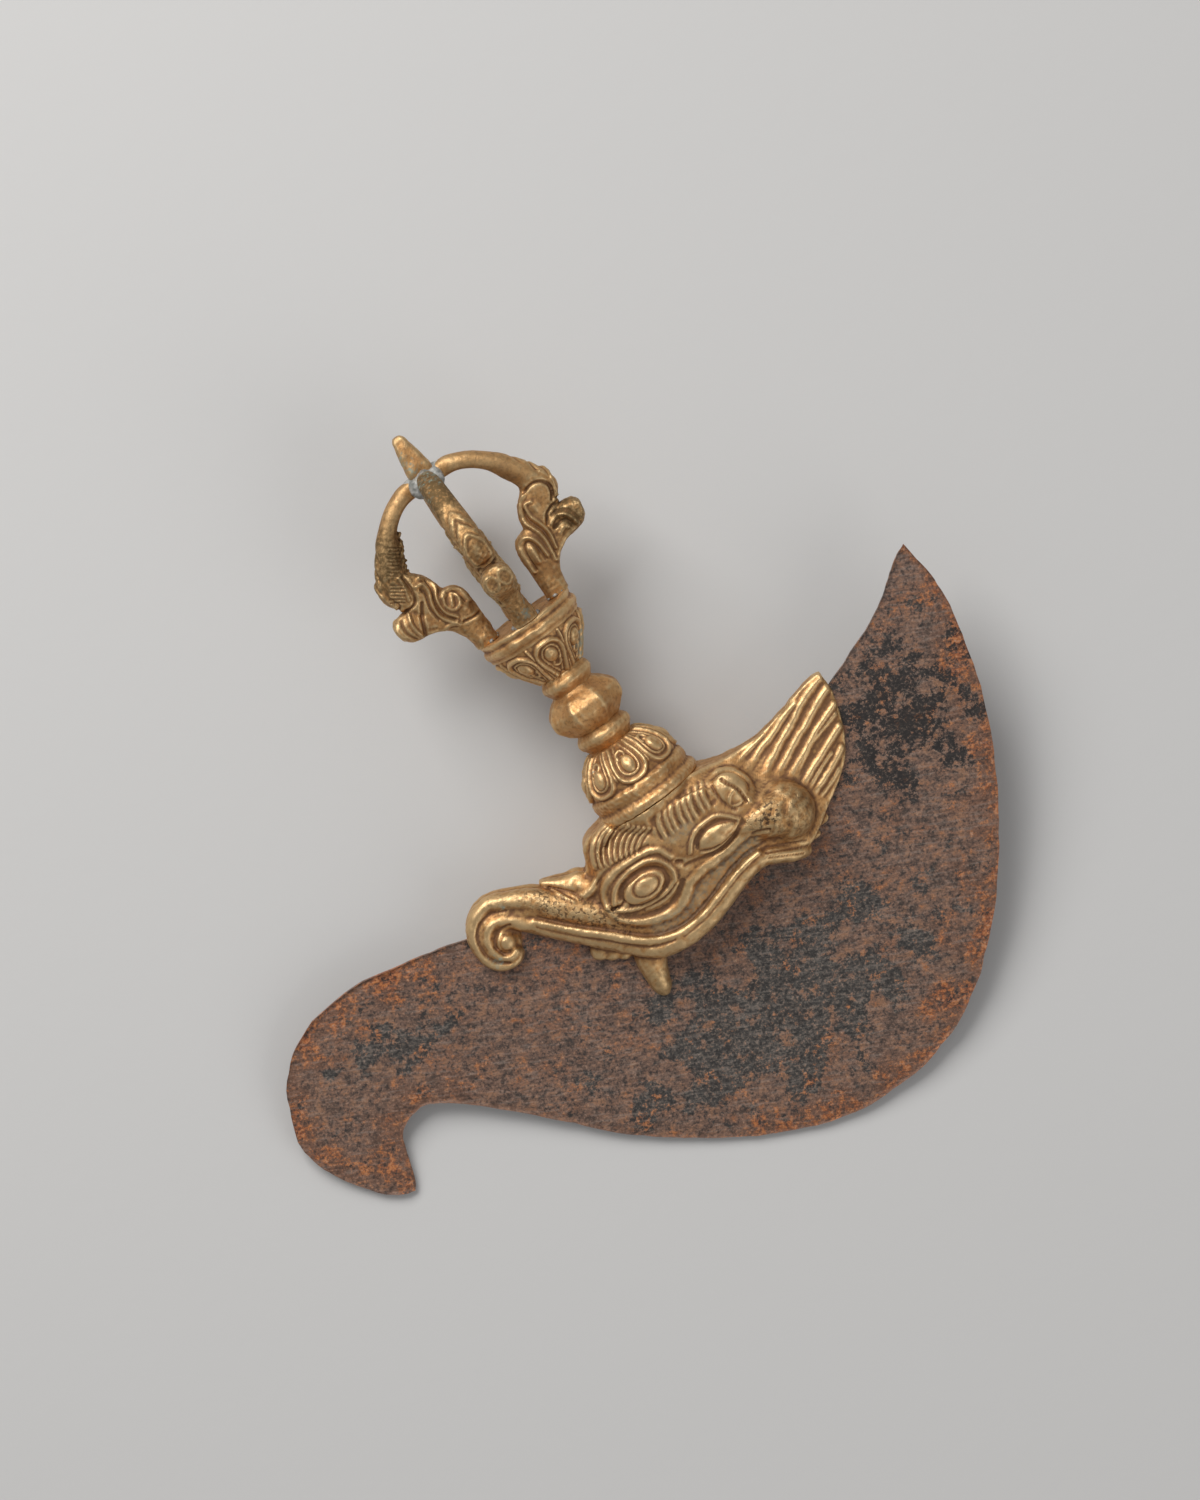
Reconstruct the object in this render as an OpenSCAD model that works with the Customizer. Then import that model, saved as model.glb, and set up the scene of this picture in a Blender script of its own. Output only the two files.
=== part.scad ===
// Kartika, the crescent chopper of south asian ritual: a forged iron blade set in a slotted
// brass sea-monster head, a beaded brass stem threaded on the blade's tang, and an open
// finial of four prongs round a spike, joined at the tip with soft solder.
//
// The pieces are drawn with X across the blade, Y up the handle and Z out of the blade's
// face, from the middle of the seat between head and stem. lay_down() then puts the whole
// on a table, where it rests on the blade's hook, the head's ball and one prong's knob.

/* [Blade] */
// Length of the blade from the lobe to the horn
blade_l = 169.5; // [160:0.5:180]
// Depth of the belly below the seat between head and stem
belly_h = 77.3; // [72:0.1:84]
// Thickness of the forged plate
blade_t = 1.8; // [1.4:0.1:2.2]
// Thickness left at the cutting edge
edge_t = 0.7; // [0.4:0.1:1.2]
// Width of the bevel along the cutting edge
bevel_w = 2.2; // [1.2:0.2:3.2]
// Half width of the tang that the stem is threaded on
tang_w = 2; // [1.4:0.1:2.4]
// Half width of the root of the tang
tang_root = 5; // [3.5:0.5:6.5]

/* [Head] */
// Play between the plate and each cheek of the slot
slot_fit = 0.05; // [0.02:0.01:0.15]
// Radius of the ball at the end of each jaw
ball_r = 5.2; // [4.4:0.2:5.8]
// Half width of the rolled lip
lip_w = 1.7; // [1.3:0.1:2.1]
// Length of the fang below the lip
fang_l = 8.2; // [6:0.2:10]
// Number of strands combed back over the brow
strands = 5; // [4:1:8]
// Number of ribs on the brow
brow_ribs = 7; // [5:1:9]
// Number of ribs on the fin
fin_ribs = 8; // [5:1:10]

/* [Stem] */
// Play between the tang and the bores threaded on it
bore_fit = 0.15; // [0.05:0.05:0.4]
// Height of the lotus bell
bell_h = 13.9; // [12:0.1:16]
// Radius of the bell at its petals
bell_r = 10.2; // [9.4:0.1:10.6]
// Radius of the bell's base ring
base_r = 11.6; // [11.2:0.1:12.4]
// Height of the lower collar
lower_collar_h = 4.2; // [3.4:0.1:5.4]
// Radius of the lower collar
lower_collar_r = 6; // [5.6:0.1:6.8]
// Height of the grip bulb
bulb_h = 9; // [8:0.1:11]
// Radius of the grip bulb
bulb_r = 7.7; // [7.2:0.1:8.6]
// Number of facets round the grip bulb
bulb_facets = 8; // [6:1:10]
// Height of the upper collar
upper_collar_h = 4; // [3.2:0.1:5]
// Radius of the upper collar
upper_collar_r = 5.6; // [5.4:0.1:6.4]
// Height of the lotus cup
cup_h = 8.9; // [8:0.1:10.5]
// Number of petals round the bell and round the cup
petals = 8; // [6:1:9]
// Height that a petal stands out of its cup or bell
petal_rise = 0.55; // [0.3:0.05:0.8]

/* [Finial] */
// Height of the grooved rim that carries the prongs
rim_h = 4.3; // [3.6:0.1:5.4]
// Radius of the rim
rim_r = 10.9; // [10.8:0.1:11.8]
// Turn of the finial about the handle
finial_turn = 5; // [0:1:20]
// Half thickness of a prong's plain upper band
band_t = 2.5; // [2:0.1:3]
// Half width of the spike where the prongs meet it
spike_w = 2.7; // [2.2:0.1:3.1]
// Height of the spike above the rim
spike_h = 43.7; // [40:0.1:48]
// Reach of the solder past the spike
solder_r = 3.8; // [3.4:0.1:4.6]

/* [Hidden] */
$fn = 48;

// Heights of the seats up the stem
collar_y = bell_h;
bulb_y = collar_y + lower_collar_h;
upper_y = bulb_y + bulb_h;
cup_y = upper_y + upper_collar_h;
rim_y = cup_y + cup_h;
finial_y = rim_y + rim_h;
bore_r = norm([tang_w, blade_t / 2]) + bore_fit;
slot_t = blade_t + 2 * slot_fit;

// The blade's points, drawn at one length and depth, and stretched to the sizes above
drawn_l = 169.5;
drawn_h = 77.3;
function sized(p) = [p.x * blade_l / drawn_l, p.y * (p.y < 0 ? belly_h / drawn_h : 1)];
lobe_end = sized([-98.3, -20.9]);
horn_end = sized([71.2, 3.5]);
belly_end = sized([9.3, -77.3]);

// Cutting edge, from the horn's tip round the belly to the tip of the hook
edge_points = [[70.2, 12.9], [71.2, 3.5], [70, -7], [65.1, -23.8], [57, -40.1], [45.3, -56.3],
    [33.7, -67.7], [22.1, -74.6], [9.3, -77.3], [-4.7, -76.5], [-18.6, -71.2], [-32.6, -62.7],
    [-45.3, -52], [-55.8, -40.6], [-66.3, -30.2], [-72.1, -26.1], [-75.8, -25.9],
    [-80.5, -28.4], [-82.8, -35.4], [-84.9, -39]];
// Back of the blade, from the hook's tip round the lobe to the tang, and on to the horn's tip
back_points = [[-84.9, -39], [-89, -37.2], [-95.3, -29], [-98.3, -20.9], [-97.7, -15.1],
    [-93, -5.8], [-83.7, 0.6], [-70.9, 2.3], [-58.1, 0.1], [-47.1, -2.6], [-37.5, -5],
    [-29, -10.5], [-20, -15.5], [-9, -16.5]];
horn_points = [[9, -15], [20, -12], [32, -6.4], [42.4, -1.7], [55.8, 3.5], [62.8, 8.2],
    [67.4, 11.5], [70.2, 12.9]];
edge_steps = 3;
back_steps = 2;
// The root of the tang rises from the middle of the back
root_low = -15;
root_top = -4;

// Head: distance along the jaw, lower edge, upper edge, then half thickness at five heights
head_sections = [
    [-28, -16.5, -9.5, 2.4, 3.2, 3.4, 3.0, 1.6],
    [-22, -22.0, -6.4, 4.2, 5.4, 5.8, 4.6, 2.6],
    [-18.6, -24.8, -4.2, 5.0, 6.2, 7.0, 6.2, 3.4],
    [-16.2, -26.4, 0.2, 5.3, 6.8, 8.0, 7.2, 4.4],
    [-11, -27.3, 1.4, 5.6, 7.0, 8.7, 8.9, 5.4],
    [-4, -26.6, 1.0, 6.0, 7.4, 9.6, 10.3, 8.0],
    [3, -24.2, 0.7, 6.4, 7.9, 10.2, 10.8, 8.5],
    [9, -22.2, 0.3, 6.8, 8.4, 10.4, 10.2, 7.0],
    [15, -22.0, -1.3, 6.5, 8.8, 10.0, 7.6, 4.0],
    [20, -25.5, -2.0, 5.5, 8.6, 8.8, 5.0, 2.8],
    [24, -24.3, -2.1, 4.2, 6.0, 5.2, 3.6, 2.4],
    [28, -21.8, -1.5, 2.8, 3.8, 3.6, 3.0, 2.2],
    [33, -18.6, -0.2, 2.3, 2.9, 3.0, 2.7, 2.1],
    [37, -15.0, 0.9, 2.1, 2.5, 2.6, 2.4, 2.0],
    [40, -9.5, 1.5, 1.9, 2.2, 2.2, 2.1, 1.8],
    [41.9, -3.4, 1.4, 1.6, 1.7, 1.7, 1.6, 1.5]];
section_rows = 6;
ball_at = [20.9, -16.6, 7.6];

// Where the laid-down object touches the table
knob_r = 22.3;
knob_y = finial_y + 11.2;
touch_knob = [knob_r * sin(-finial_turn), knob_y, -knob_r * cos(finial_turn)];
touch_ball = [ball_at.x, ball_at.y, -ball_at.z - ball_r];
touch_hook = concat(sized([-86, -38.5]), -blade_t / 2);

// Point on a Catmull-Rom stretch between b and c
function stretch(a, b, c, d, t) =
    0.5 * (2 * b + (c - a) * t + (2 * a - 5 * b + 4 * c - d) * t * t
        + (3 * b - a - 3 * c + d) * t * t * t);

// Smooth curve through the points, each stretch in n steps
function smooth(p, n) = [
    for (i = [0:len(p) - 2]) for (k = [0:n - 1])
        stretch(p[max(i - 1, 0)], p[i], p[i + 1], p[min(i + 2, len(p) - 1)], k / n),
    p[len(p) - 1]];

function clamp(x, low, high) = min(max(x, low), high);

// Half thickness of the head at height share s of one section
function bulge(h, s) =
    let (i = min(floor(s * 4), 3))
    stretch(h[max(i - 1, 0)], h[i], h[i + 1], h[min(i + 2, 4)], s * 4 - i);

skin_sections = smooth(head_sections, 2);
function section_value(u, k) = lookup(u, [for (s = skin_sections) [s[0], s[k]]]);

// Height of the head's cheek above the blade's middle plane at a point of the outline
function skin(u, v) =
    let (low = section_value(u, 1), high = section_value(u, 2))
    bulge([for (k = [3:7]) section_value(u, k)], clamp((v - low) / (high - low), 0, 1));

// Path laid on the cheek: each point is [u, v, half width], sunk by part of its height
function on_skin(path, rise) = [
    for (p = path) [p[0], p[1], skin(p[0], p[1]) - 0.3 * rise, p[2], rise]];

// Closed oval path with half axes a and b and a given half width
function oval(centre, a, b, w, n) = [
    for (k = [0:n - 1]) [centre.x + a * cos(360 * k / n), centre.y + b * sin(360 * k / n), w]];

// Rounded bar along a path of [x, y, z, half width, half height]; a ring joins its own start
module roll(path, sides = 6, ring = false) {
    n = len(path);
    points = [
        for (i = [0:n - 1])
            let (a = ring ? path[(i + n - 1) % n] : path[max(i - 1, 0)])
            let (b = ring ? path[(i + 1) % n] : path[min(i + 1, n - 1)])
            let (turn = atan2(b.y - a.y, b.x - a.x), p = path[i])
            for (k = [0:sides - 1])
                let (side = cos(360 * k / sides) * p[3], up = sin(360 * k / sides) * p[4])
                [p.x - sin(turn) * side, p.y + cos(turn) * side, p.z + up]];
    walls = [
        for (i = [0:n - (ring ? 1 : 2)]) for (k = [0:sides - 1])
            let (a = i * sides + k, b = i * sides + (k + 1) % sides, step = (i + 1) % n * sides)
            let (c = step + k, d = step + (k + 1) % sides)
            each [[a, c, d], [a, d, b]]];
    ends = [[for (k = [0:sides - 1]) k], [for (k = [sides - 1:-1:0]) (n - 1) * sides + k]];
    polyhedron(points, ring ? walls : concat(walls, ends), convexity = 8);
}

module both_sides() {
    children();
    mirror([0, 0, 1]) children();
}

// Revolve about the handle of a profile of [radius, height] points
module turned(profile) {
    rotate([-90, 0, 0]) mirror([0, 1, 0]) rotate_extrude() polygon(profile);
}

// Round bar up the handle, from one height to another
module stem_rod(r, low, high) {
    translate([0, low, 0]) rotate([-90, 0, 0]) cylinder(h = high - low, r = r);
}

// Rotation that stands the plane through the three resting points level, and the move that
// brings the middle of the object's footprint to the origin
function level() =
    let (raw = cross(touch_ball - touch_knob, touch_hook - touch_knob))
    let (up = (raw.z < 0 ? -raw : raw) / norm(raw), c = 1 / (1 + up.z))
    [[1 - up.x * up.x * c, -up.x * up.y * c, -up.x],
     [-up.x * up.y * c, 1 - up.y * up.y * c, -up.y],
     [up.x, up.y, up.z]];

module lay_down() {
    m = level();
    left = m * concat(lobe_end, 0);
    right = m * concat(horn_end, 0);
    low = m * concat(belly_end, 0);
    high = m * [0, finial_y + spike_h, 0];
    table = m * touch_knob;
    shift = [-(left.x + right.x) / 2, -(low.y + high.y) / 2, -table.z];
    multmatrix([
        [m[0].x, m[0].y, m[0].z, shift.x],
        [m[1].x, m[1].y, m[1].z, shift.y],
        [m[2].x, m[2].y, m[2].z, shift.z],
        [0, 0, 0, 1]]) children();
}

blade_edge = smooth([for (p = edge_points) sized(p)], edge_steps);
blade_back = smooth([for (p = back_points) sized(p)], back_steps);
blade_horn = smooth([for (p = horn_points) sized(p)], back_steps);
tang_points = [[tang_w, rim_y], [tang_w, root_top], [tang_root, root_top], [tang_root, root_low]];
// The whole outline, clockwise, each point once
blade_outline = concat(
    blade_edge,
    [for (i = [1:len(blade_back) - 1]) blade_back[i]],
    [for (i = [3:-1:0]) [-tang_points[i].x, tang_points[i].y]],
    tang_points,
    [for (i = [0:len(blade_horn) - 2]) blade_horn[i]]);

// Triangles that fill a plate between two rows of its points, each time over the shorter way
// on which the next triangle doesn't fold back
function filled(p, low, high, i = 0, j = 0) =
    let (a = p[low[i]], b = p[high[j]])
    let (c = i + 1 < len(low) ? p[low[i + 1]] : undef, d = j + 1 < len(high) ? p[high[j + 1]] : undef)
    is_undef(c) && is_undef(d) ? []
    : is_undef(d) || (!is_undef(c) && cross(a - c, b - c) < 0 && norm(c - b) < norm(a - d))
        ? concat([[low[i + 1], low[i], high[j]]], filled(p, low, high, i + 1, j))
        : concat([[high[j], high[j + 1], low[i]]], filled(p, low, high, i, j + 1));

// Plate with a bevel along the cutting edge
module bevelled_plate() {
    outline = blade_outline;
    n = len(outline);
    edge_n = len(blade_edge);
    inset = [
        for (i = [0:n - 1])
            let (a = outline[(i + n - 1) % n], b = outline[(i + 1) % n], d = (b - a) / norm(b - a))
            let (share = clamp(min(i, edge_n - 1 - i) / 4, 0, 1))
            outline[i] + bevel_w * share * [d.y, -d.x]];
    rings = [
        for (p = inset) [p.x, p.y, blade_t / 2],
        for (p = outline) [p.x, p.y, edge_t / 2],
        for (p = outline) [p.x, p.y, -edge_t / 2],
        for (p = inset) [p.x, p.y, -blade_t / 2]];
    walls = [
        for (r = [0:2]) for (i = [0:n - 1])
            let (a = r * n + i, b = r * n + (i + 1) % n)
            each [[a, b + n, b], [a, a + n, b + n]]];
    // The face is filled between the edge and the back, its root and tang by themselves
    root = edge_n + len(blade_back) - 1;
    low = [for (i = [edge_n - 2:-1:1]) i];
    high = [for (i = [edge_n:root]) i, for (i = [root + 7:n - 1]) i];
    tang = [[0, 7, 6], [0, 6, 5], [0, 5, 2], [0, 2, 1], [2, 5, 4], [2, 4, 3]];
    face = concat(
        [[edge_n - 1, high[0], low[0]], [n - 1, 0, 1]],
        filled(inset, low, high),
        [for (t = tang) [root + t[0], root + t[2], root + t[1]]]);
    far = [for (t = face) [3 * n + t[0], 3 * n + t[2], 3 * n + t[1]]];
    polyhedron(rings, concat(face, far, walls), convexity = 10);
}

module blade() {
    color("saddlebrown") bevelled_plate();
}

// Loft of the head's sections, the same on both sides of the blade
module head_skin() {
    rows = section_rows;
    ring = 2 * (rows + 1);
    points = [
        for (s = skin_sections)
            let (h = [for (k = [3:7]) s[k]])
            for (k = [0:ring - 1])
                let (share = (k <= rows ? k : ring - 1 - k) / rows, face = k <= rows ? 1 : -1)
                [s[0], s[1] + (s[2] - s[1]) * share, face * bulge(h, share)]];
    n = len(skin_sections);
    walls = [
        for (i = [0:n - 2]) for (k = [0:ring - 1])
            let (a = i * ring + k, b = i * ring + (k + 1) % ring)
            each [[a, b, b + ring], [a, b + ring, a + ring]]];
    ends = [[for (k = [ring - 1:-1:0]) k], [for (k = [0:ring - 1]) (n - 1) * ring + k]];
    polyhedron(points, concat(walls, ends), convexity = 6);
}

// Rolled lip from the ball along the jaw, up the trunk and into the scroll
module lip() {
    jaw = [[18, -26, 4.6, 1.2, 2], [15.6, -22.9, 6, 1.5, 2.2], [12.9, -21.2, 6.6, lip_w, 2.2],
        [7.1, -22.6, 6.8, lip_w, 2.2], [0.3, -25, 6.4, lip_w, 2.2], [-5.4, -27, 6, lip_w, 2.2],
        [-11.1, -27.4, 5.6, lip_w, 2.2], [-16.3, -26.2, 5, lip_w, 2.2],
        [-19.6, -23.6, 4.4, lip_w, 2.3], [-26, -16.2, 3.2, lip_w, 2.6]];
    scroll = [[-30.6, -10.2, 2.4, lip_w, 2.6], [-34, -5.8, 2, lip_w, 2.6],
        [-37.5, -2.9, 1.8, 1.6, 2.6], [-40.5, -2.3, 1.8, 1.5, 2.6], [-43, -3.8, 1.8, 1.5, 2.6],
        [-43.9, -6.6, 1.8, 1.5, 2.6], [-42.7, -9.2, 1.8, 1.4, 2.5], [-40, -9.9, 1.8, 1, 2.4]];
    roll(concat(jaw, smooth(scroll, 2)), 5);
}

// Outer band of the trunk, which turns round the scroll, and the web behind both bands
module trunk() {
    rise = [[-15, -20, 4, 1.4, 2.4], [-20, -15.6, 3.6, 2, 2.8], [-24, -11, 3, 2.4, 3],
        [-28, -6.6, 2.4, 2.5, 3]];
    scroll = [[-32, -3.1, 2, 2.4, 2.9], [-35.5, -0.6, 1.6, 2.1, 2.8],
        [-39.2, 0.4, 1.4, 1.8, 2.6], [-43, -0.5, 1.4, 1.5, 2.5], [-45.5, -3.3, 1.4, 1.4, 2.4],
        [-46.2, -6.7, 1.4, 1.3, 2.4], [-45.2, -9.9, 1.4, 1.2, 2.3],
        [-42.8, -11.6, 1.4, 1.1, 2.2], [-40.2, -11.7, 1.4, 1, 2], [-38.2, -10.6, 1.4, 0.6, 1.6]];
    roll(concat(rise, smooth(scroll, 2)), 5);
    web = [[-18, -19, 1.4, 3.4, 3.4], [-27, -11, 1, 4.2, 3.6], [-34, -4, 0.6, 3.2, 2.6],
        [-38, -2, 0.6, 2.6, 2], [-42, -2.4, 0.6, 2.4, 2]];
    roll(web, 4);
    translate([-41.4, -5.8, 0]) cylinder(h = 2.4, r = 5, $fn = 14);
    hull() translate([-40.6, -7.2, 2.6]) sphere(r = 2.1, $fn = 10);
}

// Leaf that stands up behind the trunk
module barb() {
    roll([[-17, -10, 3, 2, 3], [-21.5, -6.2, 2, 1.9, 2.8], [-25, -3.6, 1.2, 1.5, 2],
        [-28.2, -1.1, 0.6, 0.5, 1]], 5);
    roll(on_skin([[-18, -5.8, 0.4], [-20.6, -8.4, 0.8], [-23.6, -8.2, 0.7], [-25.4, -5, 0.3]],
        1.2), 4);
}

// Rings of the lids and the domed eyeball
module eye(centre, a, b, ball_a, ball_b) {
    roll(on_skin(oval(centre, a, b, 0.85, 10), 1.3), 4, ring = true);
    roll(on_skin(oval(centre, 0.62 * a, 0.64 * b, 0.6, 10), 1.2), 4, ring = true);
    translate([centre.x, centre.y, skin(centre.x, centre.y)]) {
        hull() scale([ball_a, ball_b, 1.8]) sphere(r = 1, $fn = 10);
    }
}

// Raised ridge that parts the eyes from the hollow of the cheek
module cheek_ridge() {
    roll(smooth(on_skin([[17, -15.4, 0.8], [7.7, -16.2, 1.2], [0.3, -16.6, 1.2],
        [-2.8, -17.9, 1.2], [-6, -20, 1.2], [-10, -20.8, 1.2], [-14.6, -18.9, 1.1],
        [-18.4, -14.6, 0.5]], 1.4), 2), 4);
}

// Brow: short ribs side by side, ending in a curl
module brow() {
    for (k = [0:brow_ribs - 1]) {
        u = 0.2 + 10 * k / (brow_ribs - 1);
        roll(on_skin([[u, -2.4, 0.3], [u + 0.3, -4.7, 0.55], [u + 0.6, -7.2, 0.3]], 1.2), 4);
    }
    roll(smooth(on_skin([[10.6, -3.4, 0.9], [14.2, -4, 1.2], [16.8, -6.4, 1.2],
        [17.2, -9.2, 1.1], [15.6, -10.8, 1], [13.9, -9.8, 0.9], [14, -8.2, 0.6]], 1.5), 2), 4);
}

// Strands combed back from behind the eye to the stem
module hair() {
    for (k = [0:strands - 1]) {
        a = 13.4 - 8.4 * k / strands;
        b = 7.6 - 4.6 * k / strands;
        roll(on_skin([for (t = [186:-22:98]) [-3 + a * cos(t), -6.6 + b * sin(t), 0.55]], 1), 4);
    }
}

// Sharp ribs that fan out over the fin
module fin() {
    tips = smooth([[40.6, 0.5, 0], [41.2, -3.6, 0], [39.6, -9.4, 0], [36.6, -14.6, 0],
        [31, -19.4, 0]], 4);
    for (k = [0:fin_ribs - 1]) {
        share = k / (fin_ribs - 1);
        tip = tips[round(share * (len(tips) - 1))];
        root = [19 + 8.4 * share, -4.6 - 14.4 * share, 0];
        path = [for (t = [0, 0.45, 0.96]) root + (tip - root) * t];
        roll(on_skin([for (i = [0:2]) [path[i].x, path[i].y, [0.3, 0.8, 0.6][i]]], 1), 4);
    }
}

// Fang lying on the blade's face
module fang() {
    root = -26;
    path = [[-18, -0.25, 2.4, 2.6], [-19, 0.2, 2.6, 2.4], [-19.6, 0.6, 1.9, 1.8], [-18.9, 1, 0.4, 0.8]];
    roll(smooth([for (p = path) [p[0], root - fang_l * p[1], 1.7, p[2], p[3]]], 2), 6);
}

module makara_head() {
    color("goldenrod") difference() {
        union() {
            head_skin();
            turned([[0, 0], [base_r - 0.4, 0], [base_r - 0.8, -3], [9.6, -8], [7, -13], [0, -13]]);
            both_sides() {
                lip();
                trunk();
                barb();
                eye([-10.9, -13.2], 8, 5.2, 3.2, 2.6);
                eye([7.1, -12.1], 5.2, 3, 2.6, 1.6);
                cheek_ridge();
                brow();
                hair();
                fin();
                fang();
                hull() translate(ball_at) sphere(r = ball_r, $fn = 16);
            }
        }
        linear_extrude(height = slot_t, center = true) polygon(blade_outline);
        stem_rod(bore_r, root_top, 1);
        stem_rod(base_r + slot_fit, 0, bell_h);
    }
}

// Outline of one petal: round at the broad end, drawn in towards the narrow one
function petal_outline(broad, narrow, l, n = 7) =
    let (right = concat(
        [for (k = [0:n - 1]) let (t = 90 * k / n) [broad * sin(t), broad * (1 - cos(t))]],
        [[broad, broad], [0.9 * broad, 0.5 * l], [narrow, l]]))
    concat(right, [for (i = [len(right) - 1:-1:1]) [-right[i].x, right[i].y]]);

// Ring of petals: one shell of the turned form, cut to each petal's outline
module petal_ring(shell, outline, low, up) {
    for (k = [0:petals - 1]) rotate([0, 360 * k / petals, 0]) intersection() {
        turned(shell);
        translate([0, low, bore_r + 1.2]) scale([1, up, 1])
            linear_extrude(height = 2 * base_r) polygon(outline);
    }
}

// Dome of the bell, raised by a small amount where a petal stands on it
function dome(rise) =
    let (shares = [0.4, 0.57, 0.7, 0.81, 0.9, 0.985], drop = [0, 0, 0.7, 1.8, 3.2, bell_r - 5.2])
    [for (k = [0:5]) [bell_r - drop[k] + rise, bell_h * shares[k] + (k == 5 ? 0.1 : 0.25 * rise)]];

module lotus_bell() {
    foot = 0.4 * bell_h;
    color("gold") difference() {
        union() {
            turned(concat([[0, 0], [base_r - 0.4, 0], [base_r, 0.5], [base_r, 1.7],
                [base_r - 0.5, 2.2], [bell_r + 0.3, 2.4], [bell_r + 0.6, 3], [bell_r + 0.5, 4]],
                dome(0), [[5.2, bell_h], [0, bell_h]]));
            petal_ring(concat([[0, foot]], dome(petal_rise), [[0, bell_h - 0.1]]),
                petal_outline(3.1, 1.5, bell_h - 6.6), foot + 0.3, 1);
            petal_ring(concat([[0, foot]], dome(2 * petal_rise), [[0, bell_h - 0.1]]),
                petal_outline(1.9, 0.8, 5.4), foot + 1.4, 1);
        }
        stem_rod(bore_r, -1, bell_h + 1);
    }
}

module lower_collar() {
    h = lower_collar_h;
    r = lower_collar_r;
    color("darkgoldenrod") translate([0, collar_y, 0]) turned([[bore_r, 0], [5.2, 0], [5.1, 0.3],
        [r - 0.3, 1], [r, 0.48 * h], [r - 0.1, 0.62 * h], [r - 0.8, 0.86 * h], [4.6, h],
        [bore_r, h]]);
}

module grip_bulb() {
    h = bulb_h;
    r = bulb_r;
    flat_r = (r - 0.25) / cos(180 / bulb_facets);
    end_r = 5 / cos(180 / bulb_facets);
    color("gold") translate([0, bulb_y, 0]) difference() {
        intersection() {
            turned(concat([[0, 0]], smooth([[4.9, 0], [r - 1, 0.23 * h], [r - 0.2, 0.4 * h],
                [r, 0.51 * h], [r - 0.2, 0.64 * h], [r - 1.1, 0.81 * h], [5, h]], 2), [[0, h]]));
            translate([0, h / 2, 0]) for (face = [-90, 90]) rotate([face, 0, 0])
                rotate([0, 0, 180 / bulb_facets])
                    cylinder(h = h / 2, r1 = flat_r, r2 = end_r, $fn = bulb_facets);
        }
        stem_rod(bore_r, -1, h + 1);
    }
}

module upper_collar() {
    h = upper_collar_h;
    r = upper_collar_r;
    color("darkgoldenrod") translate([0, upper_y, 0]) turned([[bore_r, 0], [5, 0],
        [r - 0.1, 0.2 * h], [r, 0.55 * h], [r - 0.3, 0.8 * h], [4.8, h], [bore_r, h]]);
}

// Wall of the cup, flaring upwards, raised where a petal stands on it
function flare(rise) = [[4.9, 0], [5.5, 0.9], [7.3, 3.3], [8.6, 5.2], [9.6, 6.9], [10.1, 7.8]]
    + [for (k = [0:5]) [rise, k == 0 ? 0 : -0.3 * rise]];

module lotus_cup() {
    stretch_y = cup_h / 8.9;
    color("gold") translate([0, cup_y, 0]) rotate([0, finial_turn, 0]) difference() {
        union() {
            turned(concat([[0, 0]], [for (p = flare(0)) [p.x, p.y * stretch_y]],
                [[10.3, cup_h], [0, cup_h]]));
            petal_ring(concat([[0, 0]], [for (p = flare(petal_rise)) [p.x, p.y * stretch_y]],
                [[0, 7.8 * stretch_y]]), petal_outline(3.1, 1.3, 7.2 * stretch_y),
                7.9 * stretch_y, -1);
            petal_ring(concat([[0, 0]], [for (p = flare(2 * petal_rise)) [p.x, p.y * stretch_y]],
                [[0, 7.6 * stretch_y]]), petal_outline(1.5, 0.6, 4), 7 * stretch_y, -1);
        }
        stem_rod(bore_r, -1, cup_h + 1);
    }
}

module rim_band() {
    h = rim_h;
    r = rim_r;
    color("goldenrod") translate([0, rim_y, 0]) turned([[0, 0], [10.3, 0], [r - 0.5, 0.5],
        [r - 0.5, 0.7], [r, 1], [r + 0.1, 0.4 * h], [r, h - 1.6], [r - 0.4, h - 1.3],
        [r - 0.1, h - 1], [r, h - 0.5], [r - 0.1, h], [5.6, h], [4.8, h - 0.8], [0, h - 0.8]]);
}

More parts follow.
